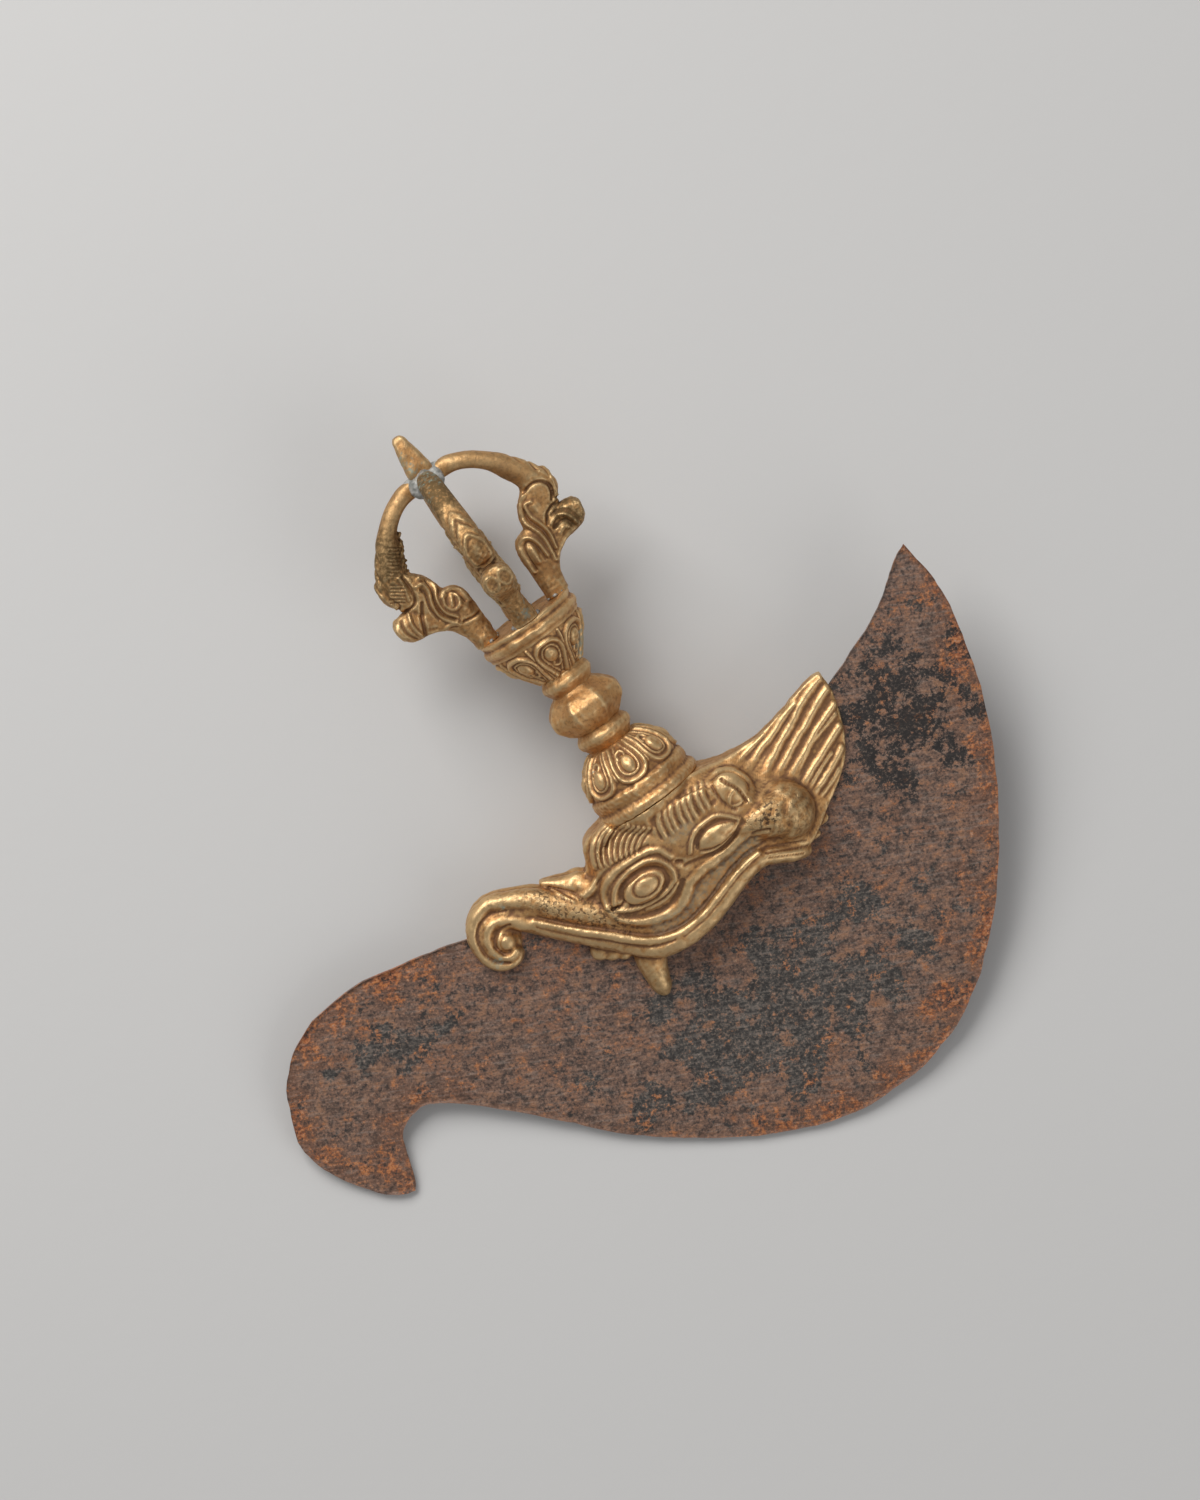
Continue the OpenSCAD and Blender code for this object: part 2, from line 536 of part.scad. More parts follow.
// One prong, drawn with X out from the handle and Y up from the rim
module prong() {
    // Foot, neck and leaning shoulder
    roll([[8.45, 0.4, 0, 2.3, 2.7], [8.5, 3, 0, 2.5, 2.5], [9.7, 6.2, 0, 3.6, 2.8],
        [10.6, 9.6, 0, 4.5, 3.4], [12.8, 13.6, 0, 4.1, 3], [15.4, 17, 0, 4, 2.9],
        [17.2, 20, 0, 3.3, 2.8]], 6);
    // Plain band that bends over to the spike
    roll(smooth([[16.8, 19, 0, 3.2, 2.7], [17.3, 22.6, 0, 2.7, band_t], [15.6, 26.6, 0, 2.2, band_t],
        [12.4, 29.9, 0, 2, band_t], [7.6, 32.8, 0, 1.8, band_t - 0.1],
        [spike_w, 33.6, 0, 1.6, band_t - 0.4]], 2), 6);
    // Curled knob on the outside, and the web that fills it in
    roll([[12, 7, 0, 1.6, 2.2], [16, 8.3, 0, 1.5, 2.4], [19.4, 9, 0, 1.3, 2.9],
        [20.9, 10.4, 0, 1.3, 3], [20.9, 12.2, 0, 1.3, 3], [19.4, 13.4, 0, 1.2, 2.9],
        [16, 13.4, 0, 1.2, 2.4]], 4);
    hull() {
        translate([14, 10.6, 0]) sphere(r = 2.4, $fn = 6);
        translate([18.6, 11.2, 0]) sphere(r = 2, $fn = 6);
    }
    both_sides() {
        // Spiral eye of the shoulder, its bead, and the overlapping leaf
        roll([for (t = [0:45:315]) [9.2 + 2.3 * cos(t), 9.2 + 2.5 * sin(t), 3, 0.65, 0.9]], 3,
            ring = true);
        hull() translate([9.2, 9.2, 3]) sphere(r = 1.1, $fn = 6);
        hull() {
            translate([15.2, 17, 2.2]) sphere(r = 1.7, $fn = 6);
            translate([17.2, 19.6, 2]) sphere(r = 1.5, $fn = 6);
        }
    }
    // Long bead down the back of the bend, and the pad under the foot
    hull() {
        translate([19.6, 16.4, 0]) sphere(r = 1.3, $fn = 6);
        translate([19.9, 19, 0]) sphere(r = 1.2, $fn = 6);
    }
    hull() translate([8.45, 0.6, 0]) cube([4.4, 1.2, 5.2], center = true);
}

// A prong at a quarter of the circle, from the blade's plane towards the viewer
module prong_at(quarter) {
    color("goldenrod") translate([0, finial_y, 0])
        rotate([0, finial_turn - 90 * quarter, 0]) prong();
}

module prong_right() {
    prong_at(0);
}

module prong_front() {
    prong_at(1);
}

module prong_left() {
    prong_at(2);
}

module prong_back() {
    prong_at(3);
}

// Square spike from the rim's dish to the blunt tip
module centre_spike() {
    neck = 36;
    corner = sqrt(2);
    color("darkgoldenrod") translate([0, finial_y - 0.8, 0]) rotate([-90, finial_turn, 0])
        rotate([0, 0, 45]) {
            cylinder(h = neck + 0.8, r1 = 1.5 * corner, r2 = (spike_w - 0.15) * corner, $fn = 4);
            translate([0, 0, neck + 0.8])
                cylinder(h = spike_h - neck, r1 = (spike_w - 0.15) * corner, r2 = 1.1 * corner, $fn = 4);
        }
}

// Soft solder round the ends of the prongs
module tip_solder() {
    color("silver") difference() {
        translate([0, finial_y + 33.8, 0]) scale([1, 0.85, 1]) sphere(r = solder_r, $fn = 16);
        centre_spike();
        for (quarter = [0:3]) prong_at(quarter);
    }
}

// Small fillets of solder round the feet of the prongs
module foot_solder() {
    color("silver") difference() {
        translate([0, finial_y, 0]) for (quarter = [0:3])
            rotate([0, finial_turn - 90 * quarter, 0]) translate([8.5, 0, 0]) intersection() {
                scale([3.3, 1.3, 4]) sphere(r = 1, $fn = 14);
                translate([-4, 0, -5]) cube([6.1, 2, 10]);
            }
        for (quarter = [0:3]) prong_at(quarter);
    }
}

lay_down() blade();
lay_down() makara_head();
lay_down() lotus_bell();
lay_down() lower_collar();
lay_down() grip_bulb();
lay_down() upper_collar();
lay_down() lotus_cup();
lay_down() rim_band();
lay_down() prong_right();
lay_down() prong_front();
lay_down() prong_left();
lay_down() prong_back();
lay_down() centre_spike();
lay_down() tip_solder();
lay_down() foot_solder();
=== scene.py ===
"""A kartika, the crescent chopper of south asian ritual, lying on a pale table.

The pieces follow in the order in which the smith and the founder put them together: iron
blade, cast head, stem, finial, solder. Sizes are in millimetres, in the drawing of the chopper:
X across the blade, Y up the handle from the seat of the stem, Z out of the blade's face.
"""
import math
import bpy
import numpy as np
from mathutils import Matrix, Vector
from mathutils.geometry import delaunay_2d_cdt


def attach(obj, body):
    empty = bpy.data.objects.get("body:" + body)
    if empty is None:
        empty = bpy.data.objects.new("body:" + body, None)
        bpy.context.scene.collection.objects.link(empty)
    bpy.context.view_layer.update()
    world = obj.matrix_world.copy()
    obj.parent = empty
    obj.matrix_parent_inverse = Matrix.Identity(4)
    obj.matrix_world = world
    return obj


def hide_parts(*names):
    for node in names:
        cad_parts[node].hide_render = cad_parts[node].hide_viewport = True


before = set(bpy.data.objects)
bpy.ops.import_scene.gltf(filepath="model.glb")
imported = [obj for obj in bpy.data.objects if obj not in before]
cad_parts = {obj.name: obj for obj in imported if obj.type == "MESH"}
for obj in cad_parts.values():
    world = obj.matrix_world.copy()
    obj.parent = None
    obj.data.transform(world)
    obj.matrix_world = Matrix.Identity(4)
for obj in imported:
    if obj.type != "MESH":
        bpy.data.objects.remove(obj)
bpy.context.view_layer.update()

# ---- Table, light and camera ----
# The chopper lies on its hook, on the ball of the head and on the knob of the back prong, which
# tilts the blade a little. The camera looks straight down, turned as in the photograph.
FINIAL_Y = 44.3
FINIAL_TURN = math.radians(5)
KNOB_R = 22.3
KNOB_Y = 11.2
knob_touch = np.array([
    KNOB_R * math.sin(-FINIAL_TURN), FINIAL_Y + KNOB_Y, -KNOB_R * math.cos(FINIAL_TURN)])
ball_touch = np.array([20.9, -16.6, -12.8])
hook_touch = np.array([-86, -38.5, -0.9])
table_up = np.cross(ball_touch - knob_touch, hook_touch - knob_touch)
table_up *= np.sign(table_up[2]) / np.linalg.norm(table_up)
lean = 1 / (1 + table_up[2])
LAY = np.array([
    [1 - table_up[0] ** 2 * lean, -table_up[0] * table_up[1] * lean, -table_up[0]],
    [-table_up[0] * table_up[1] * lean, 1 - table_up[1] ** 2 * lean, -table_up[1]],
    table_up])
# The outermost spots to each side centre it on the table
left, right = LAY @ [-98.3, -20.9, 0], LAY @ [71.2, 3.5, 0]
low, high = LAY @ [9.3, -77.3, 0], LAY @ [0, FINIAL_Y + 43.7, 0]
LAY_SHIFT = np.array([-(left[0] + right[0]) / 2, -(low[1] + high[1]) / 2, -(LAY @ knob_touch)[2]])


def laid(points):
    """Points of the drawing, in millimetres, to where they lie, in metres."""
    return (np.atleast_2d(points) @ LAY.T + LAY_SHIFT) / 1000


def linear(hex_colour):
    """sRGB hex to the linear colour that a shader takes."""
    parts = [int(hex_colour[i:i + 2], 16) / 255 for i in (1, 3, 5)]
    return [c / 12.92 if c <= 0.04045 else ((c + 0.055) / 1.055) ** 2.4 for c in parts] + [1]


def add(tree, kind, inputs=(), **settings):
    """One node, with its settings, and its sockets set or linked."""
    node = tree.nodes.new(kind)
    for key, value in settings.items():
        setattr(node, key, value)
    for socket, value in dict(inputs).items():
        if isinstance(value, bpy.types.NodeSocket):
            tree.links.new(value, node.inputs[socket])
        else:
            node.inputs[socket].default_value = value
    return node


def material(name):
    """An empty material and its tree."""
    made = bpy.data.materials.new(name)
    made.use_nodes = True
    made.node_tree.nodes.clear()
    return made, made.node_tree


def surface(tree, colour, roughness, metallic, height, strength, depth):
    """Shader and output of a tree: colour, gloss, and a bump of that depth in metres."""
    bump = add(tree, "ShaderNodeBump", {"Height": height, "Strength": strength, "Distance": depth})
    skin = add(tree, "ShaderNodeBsdfPrincipled", {
        "Base Color": colour, "Roughness": roughness, "Metallic": metallic,
        "Normal": bump.outputs["Normal"]})
    add(tree, "ShaderNodeOutputMaterial", {"Surface": skin.outputs["BSDF"]})


# Matt board, pale grey
TABLE_HALF = 3
board, tree = material("pale_matt_board")
grain = add(tree, "ShaderNodeTexNoise", {"Scale": 1400.0, "Detail": 3.0})
surface(tree, linear("#cbc9c6"), 0.75, 0.0, grain.outputs["Fac"], 0.12, 0.0003)
mesh = bpy.data.meshes.new("table")
corners = [(x * TABLE_HALF, y * TABLE_HALF, 0) for x, y in ((-1, -1), (1, -1), (1, 1), (-1, 1))]
mesh.from_pydata(corners, [], [(0, 1, 2, 3)])
table = bpy.data.objects.new("table", mesh)
table.data.materials.append(board)
bpy.context.scene.collection.objects.link(table)

# Lengths in metres. The bulb lies left of the picture's middle and above it
CAMERA_ROLL = math.radians(35)
CAMERA_HEIGHT = 1.3
PICTURE_HEIGHT = 0.3
PICTURE_LEVEL = 0.012
BULB_Y = 22.6
BULB_LEFT = 0.0029
BULB_ABOVE = 0.009
SENSOR = 36
picture_right = np.array([math.cos(CAMERA_ROLL), -math.sin(CAMERA_ROLL), 0])
picture_up = np.array([math.sin(CAMERA_ROLL), math.cos(CAMERA_ROLL), 0])
bulb_centre = laid([0, BULB_Y, 0])[0]
to_picture = CAMERA_HEIGHT - PICTURE_LEVEL
off_bulb = BULB_LEFT * picture_right - BULB_ABOVE * picture_up
aim = bulb_centre + off_bulb * (CAMERA_HEIGHT - bulb_centre[2]) / to_picture
lens = bpy.data.cameras.new("camera")
lens.sensor_fit = "VERTICAL"
lens.sensor_height = SENSOR
lens.lens = SENSOR * to_picture / PICTURE_HEIGHT
camera = bpy.data.objects.new("camera", lens)
camera.location = (aim[0], aim[1], CAMERA_HEIGHT)
camera.rotation_euler = (0, 0, -CAMERA_ROLL)
bpy.context.scene.collection.objects.link(camera)
bpy.context.scene.camera = camera


def softbox(name, along, up, height, size, power):
    """Square lamp, placed by the picture's own directions and turned to the chopper."""
    lamp = bpy.data.lights.new(name, "AREA")
    lamp.size = size
    lamp.energy = power
    stand = bpy.data.objects.new(name, lamp)
    spot = aim + along * picture_right + up * picture_up
    stand.location = (spot[0], spot[1], height)
    to_object = Vector((aim[0], aim[1], 0.01)) - stand.location
    stand.rotation_euler = to_object.to_track_quat("-Z", "Y").to_euler()
    bpy.context.scene.collection.objects.link(stand)


# Place along and up the picture, height and size in metres, power in watts
softbox("key_softbox", -0.55, 0.62, 0.8, 0.74, 11.5)
softbox("fill_softbox", 0.8, -0.5, 0.7, 0.8, 2.6)
room = bpy.data.worlds.new("room")
room.use_nodes = True
room.node_tree.nodes.clear()
air = add(room.node_tree, "ShaderNodeBackground", {"Color": linear("#e4e6ea"), "Strength": 0.37})
add(room.node_tree, "ShaderNodeOutputWorld", {"Surface": air.outputs["Background"]})
bpy.context.scene.world = room
bpy.context.scene.view_settings.view_transform = "Standard"

# ---- Blade ----
# Forged iron plate with a filed bevel along the belly. Its tang runs up inside head and stem.
# The iron has rusted brown, with darker scale left in patches and a brighter, worn edge.
BLADE_T = 1.8
EDGE_T = 0.7
BEVEL_W = 2.2
PLATE_STEP = 1.15
edge_line = [
    [70.2, 12.9], [71.2, 3.5], [70, -7], [65.1, -23.8], [57, -40.1], [45.3, -56.3], [33.7, -67.7],
    [22.1, -74.6], [9.3, -77.3], [-4.7, -76.5], [-18.6, -71.2], [-32.6, -62.7], [-45.3, -52],
    [-55.8, -40.6], [-66.3, -30.2], [-72.1, -26.1], [-75.8, -25.9], [-80.5, -28.4], [-82.8, -35.4],
    [-84.9, -39]]
back_line = [
    [-84.9, -39], [-89, -37.2], [-95.3, -29], [-98.3, -20.9], [-97.7, -15.1], [-93, -5.8],
    [-83.7, 0.6], [-70.9, 2.3], [-58.1, 0.1], [-47.1, -2.6], [-37.5, -5], [-29, -10.5],
    [-20, -15.5], [-9, -16.5]]
tang_line = [
    [-5, -15], [-5, -4], [-2, -4], [-2, 40], [2, 40], [2, -4], [5, -4], [5, -15]]
horn_line = [
    [9, -15], [20, -12], [32, -6.4], [42.4, -1.7], [55.8, 3.5], [62.8, 8.2], [67.4, 11.5],
    [70.2, 12.9]]


def through(a, b, c, d, t):
    """Smooth curve from b to c at t, where a lies before them and d behind."""
    return 0.5 * (2 * b + (c - a) * t + (2 * a - 5 * b + 4 * c - d) * t ** 2
                  + (3 * b - a - 3 * c + d) * t ** 3)


def smooth_path(points, steps=5):
    """Smooth curve through the rows, each stretch in that many steps."""
    p = np.asarray(points, float)
    p = np.vstack([p[0], p, p[-1]])
    t = (np.arange(steps) / steps)[:, None]
    rows = [through(*four, t) for four in zip(p[:-3], p[1:-2], p[2:-1], p[3:])]
    return np.vstack(rows + [p[-1:]])


def from_path(u, v, path):
    """Distance of each point to a path, and how far along it the nearest spot lies, 0 to 1."""
    path = np.asarray(path, float)
    run = np.r_[0, np.cumsum(np.hypot(*np.diff(path[:, :2], axis=0).T))]
    best, place = np.full(u.shape, 1e9), np.zeros(u.shape)
    for i in range(len(path) - 1):
        a, d = path[i, :2], path[i + 1, :2] - path[i, :2]
        t = np.clip(((u - a[0]) * d[0] + (v - a[1]) * d[1]) / max(d @ d, 1e-9), 0, 1)
        gap = np.hypot(u - a[0] - t * d[0], v - a[1] - t * d[1])
        near = gap < best
        best[near] = gap[near]
        place[near] = (run[i] + t[near] * (run[i + 1] - run[i])) / run[-1]
    return best, place


def wobble(points, size, seed):
    """Smooth random unevenness of about that size across, roughly from -1 to 1."""
    rng = np.random.default_rng(seed)
    waves = rng.normal(size=(24, points.shape[1]))
    pace = 2 * math.pi / size * rng.uniform(0.6, 1.5, 24)
    waves *= (pace / np.linalg.norm(waves, axis=1))[:, None]
    return np.sin(points @ waves.T + rng.uniform(0, 7, 24)).sum(1) / 5


def ease(x, low, high):
    """0 below low, 1 above high, smooth between."""
    t = np.clip((x - low) / (high - low), 0, 1)
    return t * t * (3 - 2 * t)


def make(name, points, faces, finish, marks=None):
    """An object from a drawing's points. Marks are named numbers on its points."""
    made = bpy.data.meshes.new(name)
    made.from_pydata(laid(points).tolist(), [], [list(f) for f in faces])
    made.materials.append(finish)
    made.polygons.foreach_set("use_smooth", [True] * len(made.polygons))
    for key, values in (marks or {}).items():
        mark = made.attributes.new(key, "FLOAT", "POINT")
        mark.data.foreach_set("value", np.asarray(values, np.float32))
    made.update()
    obj = bpy.data.objects.new(name, made)
    bpy.context.scene.collection.objects.link(obj)
    return obj


# Outline, uneven by the smith's hand wherever it is a free rim
edge_curve = smooth_path(edge_line, 8)
outline = np.vstack([
    edge_curve, smooth_path(back_line, 6)[1:], tang_line, smooth_path(horn_line, 6)[:-1]])
free = np.hypot(outline[:, 0], np.clip(outline[:, 1], -15, 60)) > 12
along = np.roll(outline, -1, axis=0) - np.roll(outline, 1, axis=0)
outward = np.stack([-along[:, 1], along[:, 0]], 1) / np.linalg.norm(along, axis=1)[:, None]
hand = 0.13 * wobble(outline, 9, 3) + 0.06 * wobble(outline, 2.5, 4)
outline = outline + outward * (np.clip(hand, -0.3, 0.16) * free)[:, None]

# Net of triangles over the plate, its points in staggered rows
across = np.arange(-100, 74, PLATE_STEP)
rows = np.arange(-79, 16, PLATE_STEP * 0.87)
grid = np.array([[x + (i % 2) * PLATE_STEP / 2, y] for i, y in enumerate(rows) for x in across])
ring = np.vstack([outline, outline[:1]])
gap, _ = from_path(grid[:, 0], grid[:, 1], ring)
x, y = grid.T
crossings = np.zeros(len(grid), int)
for (x0, y0), (x1, y1) in zip(ring[:-1], ring[1:]):
    if y0 != y1:
        crossings += ((y0 > y) != (y1 > y)) & (x < (x1 - x0) * (y - y0) / (y1 - y0) + x0)
inside = grid[(crossings % 2 == 1) & (gap > 0.55)]
count = len(outline)
flat, _, plate_faces, _, _, _ = delaunay_2d_cdt(
    [Vector(p) for p in np.vstack([outline, inside])],
    [(i, (i + 1) % count) for i in range(count)], [], 1, 1e-5)
flat = np.array([tuple(p) for p in flat])
plate_faces = np.array(plate_faces)
from_edge, _ = from_path(flat[:, 0], flat[:, 1], edge_curve)
from_rim, _ = from_path(flat[:, 0], flat[:, 1], ring)
bevel = ease(from_edge, 0, BEVEL_W)
round_off = ease(from_rim, 0, 0.5)


def plate_height(seed):
    """Half thickness of the plate: bevel, hammer marks and pits."""
    hammer = 0.07 * wobble(flat, 13, seed) + 0.035 * wobble(flat, 5, seed + 1)
    pits = 0.05 * np.clip(wobble(flat, 2.6, seed + 2) - 0.9, 0, 1.2)
    body = EDGE_T / 2 + (BLADE_T - EDGE_T) / 2 * bevel
    return body * (0.8 + 0.2 * round_off) + (hammer * bevel - pits) * round_off


count_all = len(flat)
plate_points = np.vstack([np.c_[flat, plate_height(11)], np.c_[flat, -plate_height(21)]])
front_faces = plate_faces.tolist()
area = sum(np.cross(flat[f[1]] - flat[f[0]], flat[f[2]] - flat[f[0]]) for f in plate_faces[:50])
if area < 0:
    front_faces = [f[::-1] for f in front_faces]
back_faces = [[i + count_all for i in f[::-1]] for f in front_faces]
wall = [[i, i + count_all, (i + 1) % count + count_all, (i + 1) % count] for i in range(count)]
u, v = flat.T


def stain(across, along, ragged, seed, fade=-0.4):
    """Patch with a ragged rim, from places measured in its half sizes."""
    return ease(-np.hypot(across, along) + 0.3 * wobble(flat, ragged, seed), -1.1, fade)


horn_scale = stain((u - 50) / 22, (v + 16) / 17, 12, 31, -0.5)
belly_scale = stain((u + 4) / 40, (v + 50) / 19, 14, 32)
streak = (u + 71) * 0.99 - (v + 12) * 0.17, (u + 71) * 0.17 + (v + 12) * 0.99
lobe_scale = stain(streak[0] / 15, streak[1] / 5.5, 9, 33)
hook_rust = 0.5 * ease(-np.hypot(u + 86, v + 36), -14, -3)
tip_rust = ease(-from_edge, -2.2, -0.4) * ease(u, 55, 68) * ease(v, -25, -10)
belly_rust = ease(-from_edge + 3.5 * wobble(flat, 11, 34), -9, -1) * ease(u, -40, 0)
belly_rust *= ease(-v + 0.2 * u, 4, 30)
lobe_rust = ease(-from_rim + 2.5 * wobble(flat, 8, 35), -8, -0.5) * ease(-u, 44, 58)
lobe_rust *= ease(v, -34, -24)
plate_marks = {key: np.tile(mark, 2) for key, mark in (
    ("scale", np.clip(0.8 * horn_scale + 1.15 * belly_scale + lobe_scale, 0, 1.15)),
    ("rust", np.clip(belly_rust + hook_rust + tip_rust + lobe_rust, 0, 1)),
    ("black", horn_scale), ("edge", 1 - ease(from_edge, 0.2, 1.3)))}

def readings(tree, keys=()):
    """Place on the object, and the marks of those names that its points carry."""
    marks = {key: add(tree, "ShaderNodeAttribute", attribute_name=key).outputs["Fac"]
             for key in keys}
    return add(tree, "ShaderNodeTexCoord").outputs["Object"], marks


def noise(tree, at, size, detail=4.0, roughness=0.6):
    """Noise with features of that many millimetres."""
    return add(tree, "ShaderNodeTexNoise", {
        "Vector": at, "Scale": 1000 / size, "Detail": detail,
        "Roughness": roughness}).outputs["Fac"]


def strokes_of(tree, at, turn, size, detail, roughness=0.5):
    """Noise drawn out into strokes, with their turn, and their size along each axis in metres."""
    spot = add(tree, "ShaderNodeMapping", {"Vector": at, "Rotation": turn, "Scale": size},
               vector_type="TEXTURE")
    return noise(tree, spot.outputs["Vector"], 1000, detail, roughness)


def ramp(tree, factor, stops):
    """Colour ramp with the given stops of place and hex colour."""
    node = add(tree, "ShaderNodeValToRGB", {"Fac": factor})
    band = node.color_ramp
    while len(band.elements) < len(stops):
        band.elements.new(0.5)
    for element, (at, colour) in zip(band.elements, stops):
        element.position = at
        element.color = linear(colour)
    return node.outputs["Color"]


def weighed(tree, value, weight, base=0.0, clamp=False):
    """Value times weight, on top of the base."""
    return add(tree, "ShaderNodeMath", {0: value, 1: weight, 2: base},
               operation="MULTIPLY_ADD", use_clamp=clamp).outputs[0]


def kept(tree, value, weight, base=0.0):
    """The same, kept from 0 to 1."""
    return weighed(tree, value, weight, base, True)


def above(tree, value, level, width):
    """0 where the value is below the level, 1 above it, over that width."""
    return add(tree, "ShaderNodeMapRange", {
        "Value": value, "From Min": level - width / 2,
        "From Max": level + width / 2}).outputs["Result"]


def mix(tree, factor, a, b):
    """Two colours mixed by a factor."""
    return add(tree, "ShaderNodeMix", {0: factor, 6: a, 7: b}, data_type="RGBA").outputs[2]


def tinted(tree, colour, layers):
    """The colour under layers, each with where it lies, how strongly, and its own colour."""
    for at, strength, over in layers:
        over = linear(over) if isinstance(over, str) else over
        colour = mix(tree, kept(tree, at, strength), colour, over)
    return colour


# Forged iron, rusted: matt brown, blue-black scale left in speckled patches, orange rust in clumps
# along the rim, and the faint strokes of an old file, slantwise
iron, tree = material("rusted_forged_iron")
place, marks = readings(tree, ("scale", "rust", "edge", "black"))
cloud = noise(tree, place, 7, 6.0, 0.7)
patch = noise(tree, place, 3.4, 8.0, 0.8)
clump = noise(tree, place, 2.2, 8.0, 0.8)
speck = noise(tree, place, 1.1, 6.0, 0.8)
grit = noise(tree, place, 0.55, 3.0, 0.7)
strokes = strokes_of(tree, place, (0, 0, math.radians(-27)), (0.005, 0.0006, 0.005), 5.0, 0.65)
spread = weighed(tree, cloud, 0.6, weighed(tree, speck, 0.4))
speckled = weighed(tree, patch, 0.36, weighed(tree, clump, -0.36, weighed(tree, cloud, 0.24, 0.38)))
rusty = weighed(tree, clump, 0.35, weighed(tree, cloud, 0.35, weighed(tree, speck, 0.3)))
scale_at = above(tree, weighed(tree, marks["scale"], 0.085, speckled), 0.556, 0.02)
rust_at = above(tree, weighed(tree, marks["rust"], 0.07, rusty), 0.575, 0.03)
brown = ramp(tree, clump, [
    (0.42, "#56453b"), (0.48, "#70574a"), (0.53, "#826453"), (0.58, "#987055")])
blue_black = ramp(tree, speck, [(0.42, "#2b2c2b"), (0.5, "#444441"), (0.58, "#665f58")])
orange = ramp(tree, speck, [(0.42, "#703e27"), (0.5, "#a35a32"), (0.58, "#cb7f45")])
colour = tinted(tree, brown, (
    (above(tree, spread, 0.53, 0.06), 0.5, "#96674b"), (marks["rust"], 0.5, "#8a5a3e"),
    (scale_at, 0.9, blue_black), (rust_at, 0.85, orange),
    (above(tree, strokes, 0.58, 0.12), 0.3, "#9c9085"),
    (above(tree, strokes, 0.42, -0.12), 0.45, "#38332f"),
    (above(tree, speck, 0.635, 0.03), 0.35, "#b5a698"),
    (above(tree, speck, 0.42, -0.06), 0.5, "#302a27"), (marks["edge"], 0.3, "#8e6248"),
    (marks["black"], kept(tree, scale_at, 0.75, 0.05), "#231d1b"),
    (above(tree, grit, 0.6, 0.1), 0.3, "#a8917f"), (above(tree, grit, 0.42, -0.1), 0.4, "#2f2926")))
tooth = kept(tree, strokes, 0.3, kept(tree, rust_at, 0.25, kept(tree, speck, 0.6)))
surface(tree, colour, kept(tree, speck, 0.3, 0.42), 0.2, tooth, 0.7, 0.0002)

plate = make("iron_blade", plate_points, front_faces + back_faces + wall, iron, plate_marks)
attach(plate, "root")
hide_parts("blade")

# ---- Makara head ----
# One lost-wax casting in brass, the same on both sides of the blade: the sea monster's jaw grips
# the plate and its trunk rolls up to the left. The forms run together as wax, then are scribed.
HEAD_GRAIN = 0.31
jaw_sections = [
    [-28, -16.5, -9.5, 2.4, 3.2, 3.4, 3, 1.6], [-22, -22, -6.4, 4.2, 5.4, 5.8, 4.6, 2.6],
    [-18.6, -24.8, -4.2, 5, 6.2, 7, 6.2, 3.4], [-16.2, -26.4, 0.2, 5.3, 6.8, 8, 7.2, 4.4],
    [-11, -27.3, 1.4, 5.6, 7, 8.7, 8.9, 5.4], [-4, -26.6, 1, 6, 7.4, 9.6, 10.3, 8],
    [3, -24.2, 0.7, 6.4, 7.9, 10.2, 10.8, 8.5], [9, -22.2, 0.3, 6.8, 8.4, 10.4, 10.2, 7],
    [15, -22, -1.3, 6.5, 8.8, 10, 7.6, 4], [20, -25.5, -2, 5.5, 8.6, 8.8, 5, 2.8],
    [24, -24.3, -2.1, 4.2, 6, 5.2, 3.6, 2.4], [28, -21.8, -1.5, 2.8, 3.8, 3.6, 3, 2.2],
    [33, -18.6, -0.2, 2.3, 2.9, 3, 2.7, 2.1], [37, -15, 0.9, 2.1, 2.5, 2.6, 2.4, 2],
    [40, -9.5, 1.5, 1.9, 2.2, 2.2, 2.1, 1.8], [41.9, -3.4, 1.4, 1.6, 1.7, 1.7, 1.6, 1.5]]
jaw_curve = smooth_path(jaw_sections, 6)


def cheek(u, v):
    """Height of the head's skin over the blade's middle plane."""
    u, v = np.asarray(u, float), np.asarray(v, float)
    low, high, *heights = [np.interp(u, jaw_curve[:, 0], jaw_curve[:, k]) for k in range(1, 8)]
    share = np.clip((v - low) / (high - low), 0, 1) * 4
    stations = np.stack(heights)
    first = np.minimum(share.astype(int), 3)
    t = share - first

    def at(k):
        return np.take_along_axis(stations, np.clip(k, 0, 4)[None], 0)[0]

    return through(at(first - 1), at(first), at(first + 1), at(first + 2), t)


def circle(sides):
    """Cosines and sines at even steps round a circle."""
    turn = np.arange(sides) * 2 * math.pi / sides
    return np.cos(turn), np.sin(turn)


def bar(path, sides=16):
    """Rounded bar along rows of place, half width in the drawing's plane, half height out of it."""
    path = np.asarray(path, float)
    step = np.gradient(path[:, :2], axis=0)
    step /= np.linalg.norm(step, axis=1)[:, None] + 1e-9
    caps = []
    for i, sign in ((0, -1), (-1, 1)):
        end = path[i].copy()
        end[:2] += sign * step[i] * 0.55 * path[i, 3]
        end[3:] *= 0.45
        caps.append(end)
    path = np.vstack([caps[0], path, caps[1]])
    step = np.vstack([step[:1], step, step[-1:]])
    side, up = circle(sides)
    points = np.zeros((len(path), sides, 3))
    points[..., 0] = path[:, None, 0] - step[:, None, 1] * side * path[:, None, 3]
    points[..., 1] = path[:, None, 1] + step[:, None, 0] * side * path[:, None, 3]
    points[..., 2] = path[:, None, 2] + up * path[:, None, 4]
    return shell(points)


